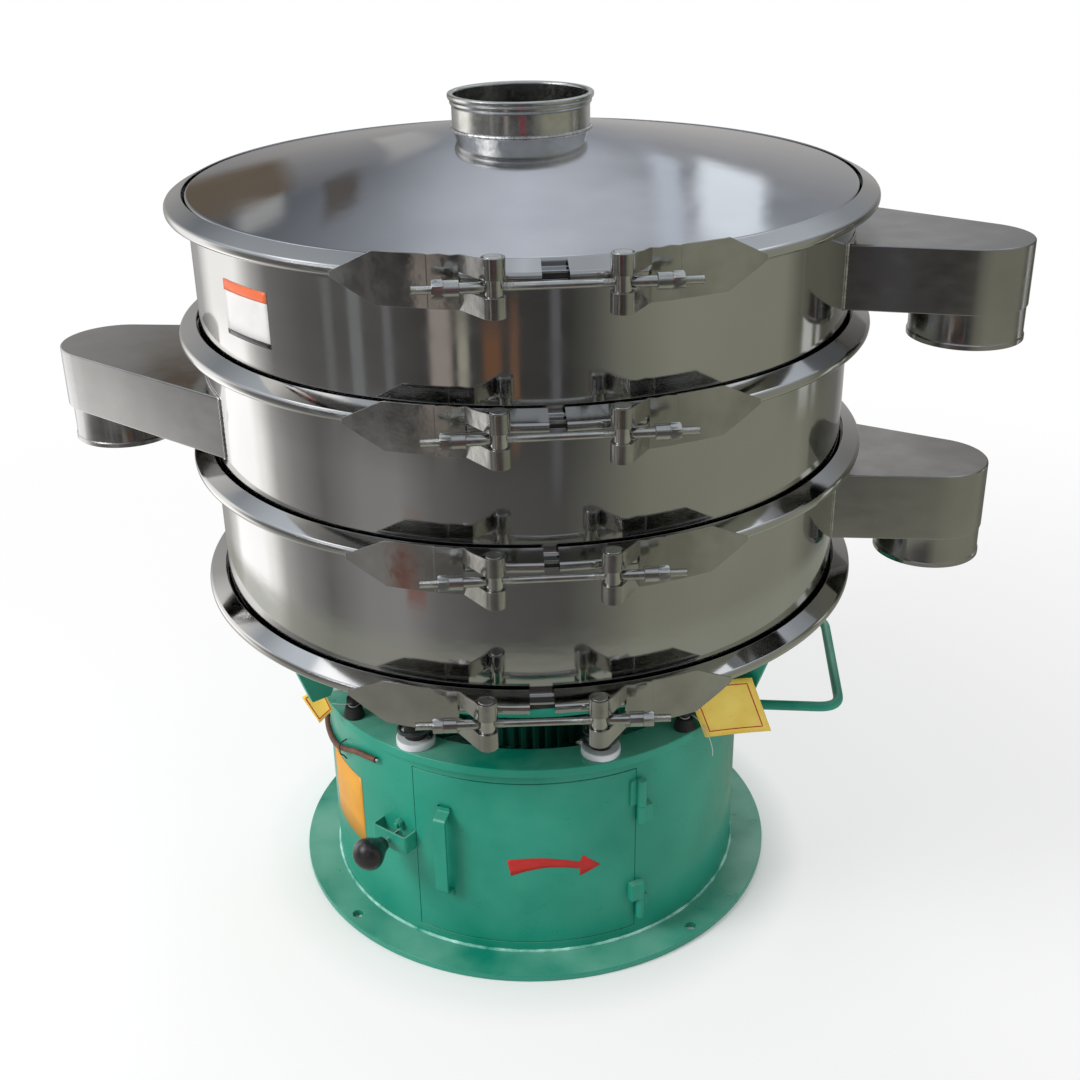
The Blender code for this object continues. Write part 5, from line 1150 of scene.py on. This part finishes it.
azimuth = np.linspace(-180.0, 180.0, 481)[:, None]
height = np.concatenate([[0.002], np.linspace(0.003, 3.8, 77)])[None, :]
rise, lift, dome_top = ramp(height, 0.40, 0.20), ramp(height, 1.15, 0.70), ramp(height, 1.9, 0.6)
side = ramp(azimuth, 5.0, 25.0) * (1 - ramp(azimuth, 108.0, 20.0))
wall = tone_round(azimuth, LOW_WALL) * (1 - rise) + tone_round(azimuth, HIGH_WALL) * rise
ceiling = tone_round(azimuth, CEILING) * (0.62 + 0.38 * dome_top)
colour = wall * (WARM * (1 - side) + OLIVE * side) * (1 - lift) + ceiling * COOL * lift
for middle, half, level, tall, paint in PANELS:
    near = ramp(half - np.abs(azimuth - middle), -0.175 * half, 0.35 * half)
    near = near * ramp(tall - np.abs(height - level), -0.175 * tall, 0.35 * tall)
    colour = colour * (1 - near) + np.array(paint) * near
colour[:, :2] = colour[:, :2] * 0.35 + FLOOR_TONE
corners, faces = patch(about(np.interp(height, TENT[:, 1], TENT[:, 0]), azimuth, height))
tent_paint, nodes, link = new_material("tent_paint", False)
glow = add(nodes, "Emission")
tone = add(nodes, "Attribute", ("attribute_name", "tone"))
link(tone.outputs["Color"], glow.inputs["Color"])
link(glow.outputs["Emission"], nodes["Material Output"].inputs["Surface"])
tent = room_piece("tent", corners.tolist(), faces, tent_paint)
tent.data.attributes.new("tone", "FLOAT_COLOR", "POINT")
rgba = np.concatenate([colour.reshape(-1, 3), np.ones((len(corners), 1))], axis=1)
tent.data.attributes["tone"].data.foreach_set("color", rgba.astype(np.float32).ravel())
tent.visible_camera = tent.visible_diffuse = tent.visible_shadow = tent.visible_transmission = False

# %% World and lamps
# Straight rays see a white room, while the light it sheds on matt faces is less than half as strong.
world = bpy.data.worlds.new("studio")
bpy.context.scene.world = world
world.use_nodes = True
nodes, link = world.node_tree.nodes, world.node_tree.links.new
soft = nodes["Background"]
soft.inputs["Color"].default_value, soft.inputs["Strength"].default_value = (1.0, 1.0, 1.0, 1.0), 0.45
white = add(nodes, "Background", Color=(1.0, 1.0, 1.0, 1.0))
rays = add(nodes, "LightPath").outputs
seen, also = (add(nodes, "Math", ("operation", "MAXIMUM")) for _ in range(2))
choose = add(nodes, "MixShader")
link(rays["Is Camera Ray"], seen.inputs[0])
link(rays["Is Glossy Ray"], seen.inputs[1])
link(seen.outputs["Value"], also.inputs[0])
link(rays["Is Transmission Ray"], also.inputs[1])
link(also.outputs["Value"], choose.inputs["Fac"])
link(soft.outputs["Background"], choose.inputs[1])
link(white.outputs["Background"], choose.inputs[2])
link(choose.outputs["Shader"], nodes["World Output"].inputs["Surface"])


def lamp(name, place, aim, size, power):
    """A square soft lamp at a place, turned to its aim."""
    data = bpy.data.lights.new(name, "AREA")
    data.energy, data.size = power, size
    item = bpy.data.objects.new(name, data)
    item.location = place
    item.rotation_euler = (Vector(aim) - Vector(place)).to_track_quat("-Z", "Y").to_euler()
    bpy.context.scene.collection.objects.link(item)


lamp("key", (-3.0, -1.5, 2.6), (0.0, 0.0, 0.4), 1.6, 120.0)
lamp("fill", (2.8, -1.6, 2.6), (0.0, 0.0, 0.5), 2.0, 22.0)
lamp("back", (0.4, 2.8, 3.2), (0.0, 0.0, 0.7), 1.8, 40.0)

# %% Camera at the photograph's angle
pitch, yaw, roll = (math.radians(value) for value in (25.62, 0.46, -0.98))
CAMERA_BACK, CAMERA_HEIGHT = 2.0307, 1.5159  # from the machine's axis and from the floor
forward = Vector((math.sin(yaw) * math.cos(pitch), math.cos(yaw) * math.cos(pitch), -math.sin(pitch)))
right = Vector((math.cos(yaw), -math.sin(yaw), 0.0))
up = right.cross(forward)
turned_right = math.cos(roll) * right + math.sin(roll) * up
turned_up = -math.sin(roll) * right + math.cos(roll) * up
lens = bpy.data.cameras.new("camera")
lens.lens, lens.sensor_width = 48.0, 36.0
camera = bpy.data.objects.new("camera", lens)
camera.matrix_world = Matrix((turned_right, turned_up, -forward)).transposed().to_4x4()
camera.location = (AXIS[0], AXIS[1] - CAMERA_BACK, CAMERA_HEIGHT)
bpy.context.scene.collection.objects.link(camera)
bpy.context.scene.camera = camera
bpy.context.scene.view_settings.view_transform = "Standard"
